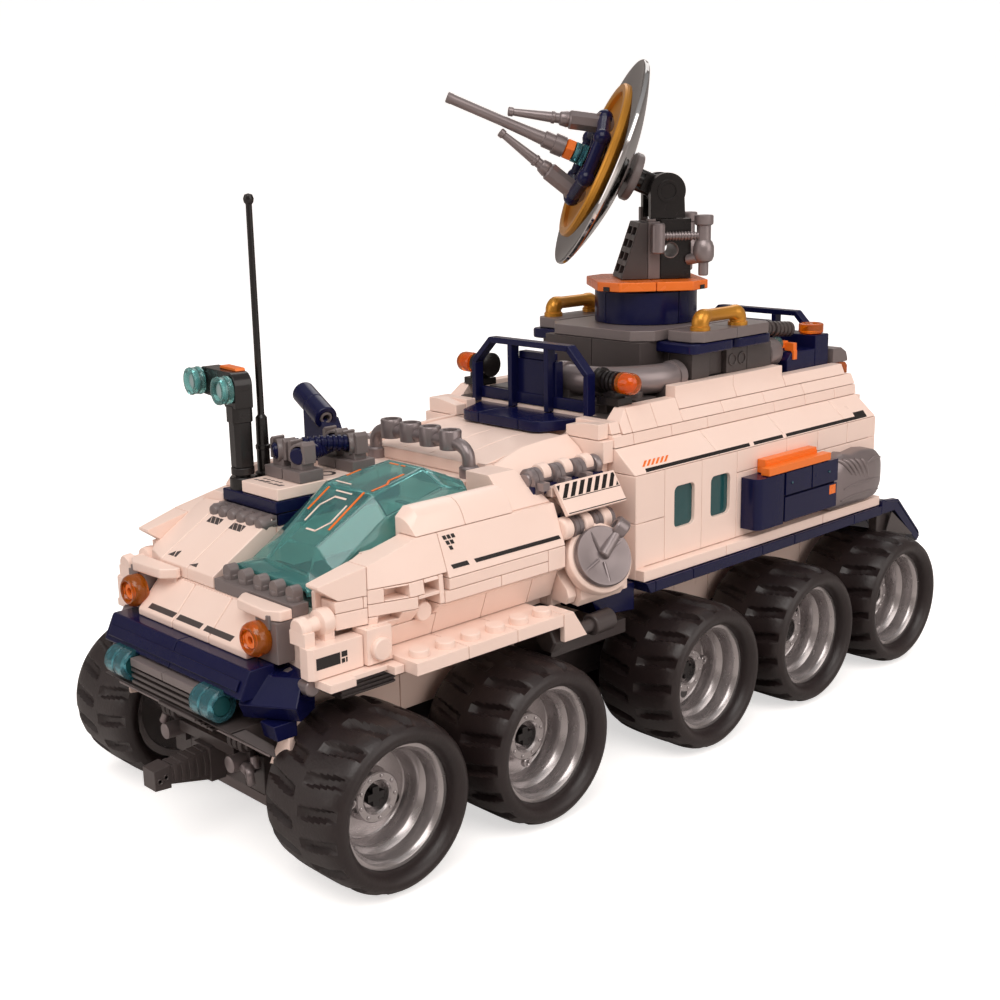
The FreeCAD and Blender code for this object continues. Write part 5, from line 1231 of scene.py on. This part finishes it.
put("amberLamps", amberHead + beaconParts + [bothSides(tails)], amberClear, instead=["amber_lamps"], smooth=42)
cores = [turned([(0, 0.6), (1.5, 0.8), (1.6, 3.2), (0.8, 4.4), (0, 4.6)], (side * 29.3, 104.0, 101.5), (side, 0, 0), 20)
         for side in (-1, 1)]
put("amberCores", amberCore + cores, orangePlastic, smooth=40)
put("beaconSleeves", sleeves, blackPlastic, instead=["beacon_posts"], smooth=35)

bricks = [block(-28.9, 28.9, y0 + seam, y0 + 17 - seam, 92.6, 98.4) for y0 in (123.0, 140.0, 157.0)]
for y0, y1 in ((134.0, 142.0), (142.0, 150.0), (150.0, 160.0), (160.0, 172.0)):
    out = 28.2 if y0 == 142.0 else 29.9
    bricks += [block(x0, x1, y0 + seam, y1 - seam, 98.6, 105.9) for x0, x1 in ((21.6, out), (-out, -21.6))]
bricks += [block(-21.4, 21.4, 134.0, 171.9, 98.6, 105.9), block(-18.9, -0.1, 124.0, 133.9, 98.6, 109.2),
           block(0.1, 18.9, 124.0, 133.9, 98.6, 109.2)]
for side in (-1, 1):
    for y in (152.8, 157.3):
        bricks.append(ringed([(1.4, 0), (1.4, 0.35), (1.9, 0.35), (1.9, 0)], (side * 29.9, y, 102.4), (side, 0, 0), 24))
put("roofBricks", bricks, darkGreyPlastic, instead=["roof_course"], bevel=0.22)


carriers = [carried(roundedOutline(10.5, 32.9, 131.2, 150.9, 2.8), 2, 106.1, 109.1),
            carried(roundedOutline(10.5, 32.9, 151.1, 169.0, 2.8), 2, 106.1, 109.1)]
put("navyCarriers", bothSides(carriers), navyPlastic, instead=["roof_plates"], bevel=0.5)


def chamfered(x0, x1, y0, y1, cut):
    # a rectangle with its corners cut off
    return [(x0 + cut, y0), (x1 - cut, y0), (x1, y0 + cut), (x1, y1 - cut), (x1 - cut, y1), (x0 + cut, y1),
            (x0, y1 - cut), (x0, y0 + cut)]


greyCarriers = [carried(chamfered(-20.0, 20.0, 124.1, 169.9, 5.0), 2, 109.3, 112.4),
                carried(chamfered(-19.0, 19.0, 134.0, 169.0, 2.0), 2, 106.1, 109.2)]
for y0, y1 in ((133.1, 150.9), (151.1, 168.9)):
    near, far = (2.6, 0) if y0 < 140 else (0, 2.6)      # only the ends that face outwards are cut
    greyCarriers.append(bothSides(carried([(21.6, y0), (32.9 - near, y0), (32.9, y0 + near), (32.9, y1 - far),
                                           (32.9 - far, y1), (21.6, y1)], 2, 109.3, 112.4)))
put("greyCarriers", greyCarriers, midGreyPlastic, bevel=0.3)
handles = []
for side in (-1, 1):
    x = side * 29.3
    route = rounded([(x, 138.2, 112.4), (x, 138.2, 116.3), (x, 155.8, 116.3), (x, 155.8, 112.4)], 3.6, 9)
    t = np.abs(route[:, 1] - 147.0) / 8.8
    handles += [swept(route, 1.75 + 0.75 * np.clip((t - 0.45) / 0.4, 0, 1) ** 1.5, 24)]
    handles += [turned([(2.9, 0), (2.9, 1.0), (2.5, 1.3)], (x, y, 112.4), (0, 0, 1), 28) for y in (138.2, 155.8)]
put("goldHandles", handles, goldPlastic, instead=["gold_handles"], smooth=45)

drum = {"radius": 15.5, "middle": 148.5, "low": 112.5, "high": 122.1}
quarters = []
for k in range(4):
    a = np.linspace(k * np.pi / 2 + 0.006, (k + 1) * np.pi / 2 - 0.006, 17) + math.radians(-10)
    outline = list(zip(drum["radius"] * np.cos(a), drum["middle"] + drum["radius"] * np.sin(a)))
    inner = list(zip(5.0 * np.cos(a[::-1]), drum["middle"] + 5.0 * np.sin(a[::-1])))
    quarters += [carried(outline + inner, 2, drum["low"], drum["high"] - 0.05)]
put("turretDrum", quarters, navyPlastic, instead=["drum"], bevel=0.25)

rear = [carried([(182.1, 92.6), (182.1, 98.6), (184.4, 100.9), (196.9, 100.9), (196.9, 92.6)], 0, 15.1, 28.9),
        block(15.1, 28.9, 197.1, 204.4, 92.6, 104.9)]
put("rearBoxes", bothSides(rear), navyPlastic, instead=["rear_boxes"], bevel=0.35)
rear = [turned([(0, 0), (3.6, 0.2), (4.4, 0.8), (4.4, 5.8), (3.9, 6.6), (2.2, 6.8), (2.0, 6.2), (0, 6.2)],
               (24.6, 173.6, 101.4), (0, 1, 0), 32)]
put("rearCaps", bothSides(rear), silverPlastic, smooth=40)
rings = []
for k in range(5):
    rings += [(2.4, 0.1 + 2.0 * k), (2.4, 1.3 + 2.0 * k), (1.9, 1.5 + 2.0 * k), (1.9, 1.9 + 2.0 * k)]
rear = [turned([(1.2, 0)] + rings + [(1.2, 10.2)], (22.6, 171.6, 108.4), (0, 1, 0), 24),
        turned([(1.2, 0)] + rings + [(1.2, 10.2)], (22.6, 182.0, 108.0), (0, 1, -0.1), 24),
        block(17.6, 22.4, 172.0, 174.4, 103.0, 107.4), block(19.0, 21.0, 183.0, 186.0, 101.4, 103.6)]
put("ribbedCans", bothSides(rear), darkGreyPlastic, smooth=35)
# an orange clip over the front edge of each box, and a flat clear lamp on the tall block behind it
rear = [block(19.2, 24.2, 180.9, 184.6, 102.4, 104.2), block(19.2, 24.2, 180.7, 182.0, 96.8, 102.6),
        block(17.6, 19.2, 181.0, 186.2, 101.0, 104.6), block(24.4, 26.0, 180.6, 186.4, 102.0, 104.2),
        block(24.4, 26.0, 180.6, 182.6, 98.6, 102.2), block(25.8, 29.3, 184.6, 186.4, 101.2, 103.8),
        block(28.3, 29.5, 184.6, 186.4, 98.6, 101.6)]
put("rearLights", bothSides(rear), orangePlastic, bevel=0.2)
flat = [(0, 0), (3.4, 0), (3.9, 0.4), (3.9, 2.9), (3.5, 3.2), (2.9, 3.2), (2.7, 2.7), (0, 2.7)]
put("rearBeacons", bothSides(turned(flat, (24.6, 200.6, 105.0), (0, 0, 1), 32)), amberClear, smooth=40)
put("rearGlint", bothSides(turned([(0, 0), (1.9, 0.1), (2.1, 0.5), (2.1, 3.6), (1.4, 4.2), (0, 4.3)],
                                  (25.0, 178.6, 103.6), (0, 1, 0), 24)),
    tealLens, smooth=40)
print("roof made")


# Turret and dish, drawn level and then turned to their rest heading and tilt
hingeZ, dishBack = 151.0, -8.0      # height of the tilt hinge and place of the bowl's back
turret = {"yaw": -38.5, "stands": 148.5, "tilt": 23.5, "hinge": np.array((0.0, 5.0, hingeZ))}


def onTurret(shapes):
    # level shapes turned to the heading and set over the drum
    return moved(joined(shapes), turnZ(turret["yaw"]), (0, turret["stands"], 0))


def onDish(shapes):
    # level shape turned about the tilt hinge, then seated on the turret
    a = math.radians(-turret["tilt"])
    lean = np.array([[1, 0, 0], [0, math.cos(a), -math.sin(a)], [0, math.sin(a), math.cos(a)]])
    points, faces = joined(shapes)
    return onTurret([((points - turret["hinge"]) @ lean.T + turret["hinge"], faces)])


base, forward = (0, dishBack, hingeZ), (0, -1, 0)


def dishPiece(profile, around):
    # a profile turned about the bowl's own axis
    return turned(profile, base, forward, around)


plateShape = [(-11, -16.6), (11, -16.6), (16.6, -11), (16.6, -seam), (-16.6, -seam), (-16.6, -11)]
plates = [carried(plateShape, 2, 122.5, 125.2), carried([(x, -y) for x, y in plateShape], 2, 122.5, 125.2)]
put("turretPlate", onTurret(plates), orangePlastic, body="turret", instead=["turret_plate"], bevel=0.3)
notches = [extruded([(x, y, 122.6), (x + 1.5, y + 1.5 * s, 122.6), (x + 1.5, y + 1.5 * s, 123.9), (x, y, 123.9)],
                    (0.25, -0.25 * s, 0))
           for x, y, s in ((12.6, -15.0, 1), (12.6, 15.0, -1))]
holed = frameRound(2.9, 12.0, 125.4, 142.9, (3.45, 8.35, 131.35, 136.25), 2.449, -7.9, 7.9, 9)
a = np.linspace(-0.12 * np.pi, 1.06 * np.pi, 25)
ear = [(10.2, 143.1)] + [(5.0 + 5.3 * math.cos(t), hingeZ + 5.3 * math.sin(t)) for t in a] + [(-0.2, 143.1)]
ears = []
for side in (-1, 1):
    ears += [carried(ear, 0, *sorted((side * 4.3, side * 7.9))),
             ringed([(2.3, 0), (2.3, 0.35), (3.3, 0.35), (3.3, 0)], (side * 7.9, 5.0, hingeZ), (side, 0, 0), 32),
             turned([(2.3, 0), (2.2, 0.12), (0, 0.12)], (side * 7.9, 5.0, hingeZ), (side, 0, 0), 28)]
put("turretBase", onTurret(notches + [holed] + ears), blackPlastic, body="turret", instead=["turret_base"], bevel=0.3)
pins = [ringed([(2.0, -7.95), (2.0, 7.95), (2.44, 7.95), (2.44, -7.95)], (0, 5.9, 133.8), (1, 0, 0), 32),
        block(-7.9, 7.9, -0.9, 2.7, 125.4, 142.2), block(-7.9, -4.4, -0.9, 1.4, 142.2, 146.0),
        block(4.4, 7.9, -0.9, 1.4, 142.2, 143.0)]
put("turretColumn", onTurret(pins), midGreyPlastic, body="turret", bevel=0.2)


def slopeAt(z, back=0.0):
    # the front of the turret's base falls back evenly with height
    return -9.0 + (z - 125.4) / 16.5 * 5.5 + back


grille = [carried([(slopeAt(125.4, 1.4), 125.4), (-1.0, 125.4), (-1.0, 141.9), (slopeAt(141.9, 1.4), 141.9)], 0,
                  -7.8, 7.8)]
for x0, x1 in ((-7.9, -6.5), (-0.7, 0.7), (6.5, 7.9)):
    grille.append(carried([(slopeAt(125.4), 125.4), (-1.0, 125.4), (-1.0, 141.9), (slopeAt(141.9), 141.9)], 0, x0, x1))
for k in range(5):
    z = 125.4 + 3.75 * k
    grille.append(carried([(slopeAt(z), z), (slopeAt(z, 1.8), z), (slopeAt(z + 1.5, 1.8), z + 1.5),
                           (slopeAt(z + 1.5), z + 1.5)], 0, -7.8, 7.8))
put("turretSlope", onTurret(grille), darkGreyPlastic, body="turret", instead=["turret_trim"], bevel=0.2)
taps = []
for side in (-1, 1):
    tapX, tapY = side * 10.6, 15.2
    taps.append(turned([(1.2, 0), (1.5, 0.3), (1.5, 3.8), (2.6, 4.4), (3.1, 5.6), (3.1, 8.4), (2.6, 9.8),
                        (2.1, 10.4), (2.1, 14.6), (2.7, 15.0), (2.8, 15.3), (2.8, 17.4), (2.5, 17.7), (1.5, 17.7),
                        (1.4, 16.6), (0, 16.6)], (tapX, tapY, 126.3), (0, 0, 1), 28))
    line, width = ribbed([(side * 9.8, 3.0, 138.0), (side * 10.6, 13.6, 138.0)], 1.35, 0.35, 0.9)
    taps += [swept(line, width, 14), block(side * 9.7 - 1.7, side * 9.7 + 1.7, -0.2, 3.4, 133.6, 141.2),
             rod((side * 9.7, 1.6, 133.0), (side * 9.7, 1.6, 141.8), 2.1, 20),
             rod((side * 8.0, 11.0, 130.8), (side * 10.6, 13.6, 131.6), 1.6, 16)]
put("turretTaps", onTurret(taps), silverPlastic, body="turret", smooth=35)


def bowl(reach, depth, start, thick):
    # back and front follow depth * (r / reach)^2, closed by a rounded rim
    r = np.linspace(2.1, reach - 0.5, 15)
    back = list(zip(r, start + depth * (r / reach) ** 2))
    front = list(zip(r, start + thick + depth * (r / reach) ** 2))
    rim = [(reach - 0.1, start + depth + 0.2), (reach - 0.05, start + depth + thick - 0.3),
           (reach - 0.3, start + depth + thick - 0.02)]
    return back + rim + front[::-1]


chromeBowl = bowl(31.95, 7.0, 0.02, 1.3)
put("chromeDish", onDish([ringed(chromeBowl, base, forward, 96)]), chrome, body="dish",
    instead=["dish_chrome"], smooth=40)
goldBowl = bowl(23.9, 5.0, 3.6, 1.3)
gold = [ringed(goldBowl, base, forward, 80),
        ringed([(21.2, 8.6), (21.2, 10.1), (21.7, 10.6), (23.3, 10.6), (23.8, 10.1), (23.8, 8.7)], base, forward, 80)]
for k in range(6):
    a = math.radians(30 + 60 * k)
    r = np.linspace(5.0, 21.4, 9)
    along = 5.0 + 5.0 * (r / 23.9) ** 2
    gold.append(swept(np.stack([r * math.cos(a), dishBack - along, hingeZ + r * math.sin(a)], axis=1), 0.75, 10))
put("goldDish", onDish(gold), goldPlastic, body="dish", instead=["dish_gold"], smooth=40)
hub = [dishPiece([(0, 1.0), (5.2, 1.2), (6.4, 1.6), (6.4, 2.2), (5.6, 2.3), (5.6, 2.6), (6.4, 2.7), (6.4, 3.3),
                  (5.0, 3.6), (0, 3.7)], 40),
       dishPiece([(0, 4.6), (5.4, 4.8), (6.0, 5.2), (6.0, 6.4), (5.2, 6.5), (5.2, 6.9), (6.0, 7.0), (6.0, 8.2),
                  (5.2, 8.3), (5.2, 8.7), (6.0, 8.8), (6.0, 10.0), (5.4, 10.6), (3.0, 10.8), (3.0, 12.8),
                  (0, 12.8)], 40)]
knuckle = [turned([(0, -3.9), (4.4, -3.9), (4.9, -3.4), (4.9, -0.4), (4.5, -0.2), (4.5, 0.2), (4.9, 0.4),
                   (4.9, 3.4), (4.4, 3.9), (0, 3.9)],
                  turret["hinge"], (1, 0, 0), 36),
           block(-2.9, 2.9, -2.0, 2.0, 148.4, 153.6), rod((0, -4.2, 148.9), (0, 2.4, 148.9), 1.3, 16),
           rod((0, -4.2, 153.1), (0, 2.4, 153.1), 1.3, 16), rod((0, -7.9, hingeZ), (0, 2.4, hingeZ), 2.3, 20),
           rod((-7.8, 5.0, hingeZ), (7.8, 5.0, hingeZ), 2.1, 24)]
put("dishKnuckle", onDish(hub + knuckle), blackPlastic, body="dish", instead=["dish_arm"], smooth=35)
backDisc = ringed([(2.4, -3.8), (2.4, -1.3), (6.9, -1.3), (7.3, -1.7), (7.3, -3.3), (6.9, -3.8)], base, forward, 40)
put("backDisc", onDish([backDisc]), midGreyPlastic, body="dish", smooth=35)
ringShapes, clasps, nozzles = [], [], []
corners = [(12.3 * math.cos(math.radians(30 + 60 * k)), 12.3 * math.sin(math.radians(30 + 60 * k))) for k in range(6)]
for k in range(6):
    (x0, z0), (x1, z1) = corners[k], corners[(k + 1) % 6]
    ringShapes.append(rod((x0, -19.6, hingeZ + z0), (x1, -19.6, hingeZ + z1), 2.0, 20, 0.2))
    ball = [(2.65 * math.sin(t), -2.65 * math.cos(t)) for t in np.linspace(0, np.pi, 11)]
    ball[0], ball[-1] = (0, -2.65), (0, 2.65)
    ringShapes.append(turned(ball, (x0, -19.6, hingeZ + z0), (-z0, 0, x0), 22))
for k in range(3):
    a = math.radians(120 * k)
    ringShapes.append(rod((3.0 * math.cos(a), -18.8, hingeZ + 3.0 * math.sin(a)),
                          (10.4 * math.cos(a), -19.4, hingeZ + 10.4 * math.sin(a)), 1.5, 14))
put("navyRing", onDish(ringShapes), navyPlastic, body="dish", smooth=42)
for up in (-1, 1):
    root, tip = np.array((0, -20.6, hingeZ + up * 10.3)), np.array((0, -47.0, hingeZ + up * 3.1))
    way = (tip - root) / np.linalg.norm(tip - root)
    nozzles += [turned([(2.2, 0), (2.9, 0.4), (2.9, 8.6), (2.3, 9.2), (2.3, 9.4)], root, way, 8, math.pi / 8),
                turned([(2.2, 9.2), (2.4, 9.6), (2.0, 11.6), (1.5, 12.0), (1.5, 13.2), (1.8, 13.4), (1.8, 14.2),
                        (1.55, 14.4), (1.05, 25.6), (1.35, 25.8), (1.35, 27.0), (1.1, 27.2)], root, way, 24)]
    clasps.append(ringed([(2.1, -1.7), (2.1, 1.7), (3.1, 1.7), (3.3, 1.3), (3.3, -1.3), (3.1, -1.7)],
                         (0, -19.6, hingeZ + up * 10.8), (1, 0, 0), 24))
feed = [(2.0, 19.4), (3.1, 19.6), (3.1, 22.8), (2.5, 23.0), (2.5, 26.0), (2.0, 26.3), (1.75, 31.0), (1.5, 40.0),
        (1.5, 55.2), (1.6, 55.4), (1.6, 56.8), (1.3, 56.95)]
put("dishNozzles", onDish(nozzles + clasps + [dishPiece(feed, 28)]), silverPlastic, body="dish",
    instead=["dish_feed"], smooth=38)
tealCore = [(2.4, 12.6), (3.6, 12.9), (3.6, 14.4), (2.8, 14.6), (3.4, 14.8), (3.4, 16.4), (2.2, 16.6)]
orangeCore = [(2.2, 16.5), (3.3, 16.8), (3.3, 19.0), (2.4, 19.5)]
put("dishCoreTeal", onDish([dishPiece(tealCore, 6)]), tealLens, body="dish", smooth=25)
put("dishCoreOrange", onDish([dishPiece(orangeCore, 6)]), orangePlastic, body="dish", smooth=25)
print("turret and dish made")


# Underside: rails with pin holes, cross members, belly plates and the white lower walls in courses
rails = []
for (y0, y1), axle in zip(spans(-11.9, 24.0, 80.0, 136.0, 184.0, 219.9), (0.0, 48.0, 112.0, 160.0, 208.0)):
    bore = (axle - 2.45, axle + 2.45, 18.35, 23.25)
    rails.append(bothSides(frameRound(y0, y1, 15.9, 25.8, bore, 2.449, 12.1, 19.9, 7)))
for y in (-9.0, 24.0, 80.0, 136.0, 184.0, 217.0):
    rails.append(block(-12.0, 12.0, max(y - 3.0, -11.9), min(y + 3.0, 219.9), 15.9, 25.7))
for k in range(12):
    y0 = -11.8 + 19.3 * k
    rails.append(block(-19.9, 19.9, y0 + seam, y0 + 19.3 - seam, 25.9, 28.9))
put("frameRails", rails, darkGreyPlastic, instead=["chassis_frame"], bevel=0.3)
belly = [block(-17.9, 17.9, y0, y1, 6.3, 9.3)
         for y0, y1 in spans(-4.0, 16.0, 36.0, 56.0) + spans(104.0, 132.0, 160.0, 188.0, 216.0)]
for y in (24.0, 136.0, 184.0):
    belly += [block(-19.9, -0.1, y - 3.9, y + 3.9, 9.3, 15.7), block(0.1, 19.9, y - 3.9, y + 3.9, 9.3, 15.7)]
put("bellyPlates", belly, midGreyPlastic, instead=["belly_plate"], bevel=0.3)
walls = []
for y0, y1, levels in ((-8.0, 64.0, (29.1, 38.7, 48.2)), (97.6, 209.6, (29.1, 38.2, 47.1))):
    count = round((y1 - y0) / 16)
    for row, (z0, z1) in enumerate(zip(levels, levels[1:])):
        edges = [y0] + [y0 + 8 * row + 16 * k for k in range(1, count)] + [y1]
        for a, b in spans(*edges):
            walls += [block(x0, x1, a, b, z0 + seam, z1 - seam) for x0, x1 in ((24.1, 27.9), (-27.9, -24.1))]
    walls += [block(-24.0, 24.0, a, a + 3.8, levels[0], levels[-1]) for a in (y0 + 0.1, y1 - 3.9)]
put("lowerWalls", walls, whitePlastic, instead=["lower_walls"], bevel=0.2)
print("underside made")


# Stage: a pale floor that curves up far away, soft lights and the camera.
studio = {"flat": 1.2, "bend": 0.9, "wall": 1.1, "around": 96, "rings": 24, "glow": 0.62}


def makeFloor():
    # radius grows from 0 with the first parameter, and past the flat part the height follows a quarter circle
    t = np.linspace(0, 1, studio["rings"])
    bend = np.clip((t - 0.4) / 0.4, 0, 1) * math.pi / 2
    radius = np.where(t < 0.4, t / 0.4 * studio["flat"], studio["flat"] + studio["bend"] * np.sin(bend))
    height = studio["bend"] * (1 - np.cos(bend)) + np.clip((t - 0.8) / 0.2, 0, 1) * studio["wall"]
    a = np.arange(studio["around"]) * 2 * np.pi / studio["around"]
    ring = np.stack([np.cos(a), np.sin(a), np.zeros_like(a)], axis=-1)
    points = ring[None] * np.maximum(radius, 0.001)[:, None, None] + np.array([0, 0, 1]) * height[:, None, None]
    faces = [f[::-1] for f in gridFaces(studio["rings"], studio["around"])]
    faces.append(tuple(range(studio["around"])))
    mesh = bpy.data.meshes.new("floor")
    mesh.from_pydata(points.reshape(-1, 3).tolist(), [], faces)
    mesh.polygons.foreach_set("use_smooth", np.ones(len(mesh.polygons), bool))
    material = finishOf("floorPaper", (0.93, 0.92, 0.915), (0.91, 0.90, 0.895), rough=0.85, dust=0.0)
    tree = material.node_tree
    shader = tree.nodes["Principled BSDF"]
    seen = tree.nodes.new("ShaderNodeLightPath").outputs["Is Camera Ray"]
    paper = mixed(tree, seen, (0.62, 0.58, 0.56), shader.inputs["Base Color"].links[0].from_socket)
    tree.links.new(paper, shader.inputs["Base Color"])
    shader.inputs["Emission Color"].default_value = (1.0, 0.985, 0.975, 1)
    tree.links.new(arithmetic(tree, "MULTIPLY", seen, studio["glow"]), shader.inputs["Emission Strength"])
    mesh.materials.append(material)
    floor = bpy.data.objects.new("floor", mesh)
    bpy.context.scene.collection.objects.link(floor)


makeFloor()

lamps = {    # name: (spot in metres, size, watts, colour)
    "keyLamp": ((0.45, -0.55, 1.05), 0.9, 8.6, (1.0, 0.955, 0.92)),
    "sideLamp": ((1.05, 0.25, 0.55), 0.9, 4.7, (1.0, 0.94, 0.90)),
    "frontLamp": ((-0.45, -1.05, 0.5), 0.8, 2.4, (1.0, 0.935, 0.90)),
    "backLamp": ((-0.6, 0.9, 0.95), 0.8, 3.0, (1.0, 0.97, 0.95))}
for name, (spot, size, watts, color) in lamps.items():
    data = bpy.data.lights.new(name, "AREA")
    data.size = size
    data.energy = watts
    data.color = color
    lamp = bpy.data.objects.new(name, data)
    lamp.location = spot
    lamp.rotation_mode = "QUATERNION"
    lamp.rotation_quaternion = (Vector((0, 0, 0.08)) - Vector(spot)).to_track_quat("-Z", "Y")
    bpy.context.scene.collection.objects.link(lamp)
world = bpy.data.worlds.new("paleRoom")
world.use_nodes = True
world.node_tree.nodes["Background"].inputs["Color"].default_value = (1.0, 0.965, 0.95, 1)
world.node_tree.nodes["Background"].inputs["Strength"].default_value = 0.42
bpy.context.scene.world = world
bpy.context.scene.view_settings.view_transform = "Standard"

shot = {"spot": (286.3, -186.2, 164.6), "azimuth": 46.48, "elevation": 13.88, "roll": -1.04, "lens": 51.5}


def makeCamera():
    # back = from the subject to the camera; right and up turn about it by the roll
    a, e, r = (math.radians(shot[k]) for k in ("azimuth", "elevation", "roll"))
    back = np.array([math.sin(a) * math.cos(e), -math.cos(a) * math.cos(e), math.sin(e)])
    right = np.array([math.cos(a), math.sin(a), 0])
    up = np.cross(back, right)
    right, up = right * math.cos(r) + up * math.sin(r), up * math.cos(r) - right * math.sin(r)
    data = bpy.data.cameras.new("camera")
    data.lens = shot["lens"]
    data.clip_start = 0.01
    camera = bpy.data.objects.new("camera", data)
    camera.rotation_mode = "QUATERNION"
    camera.rotation_quaternion = Matrix(np.stack([right, up, back], axis=1).tolist()).to_quaternion()
    camera.location = Vector((shot["spot"][0] * 0.001, shot["spot"][1] * 0.001 + axleY, shot["spot"][2] * 0.001))
    bpy.context.scene.collection.objects.link(camera)
    bpy.context.scene.camera = camera


makeCamera()
bpy.context.view_layer.update()
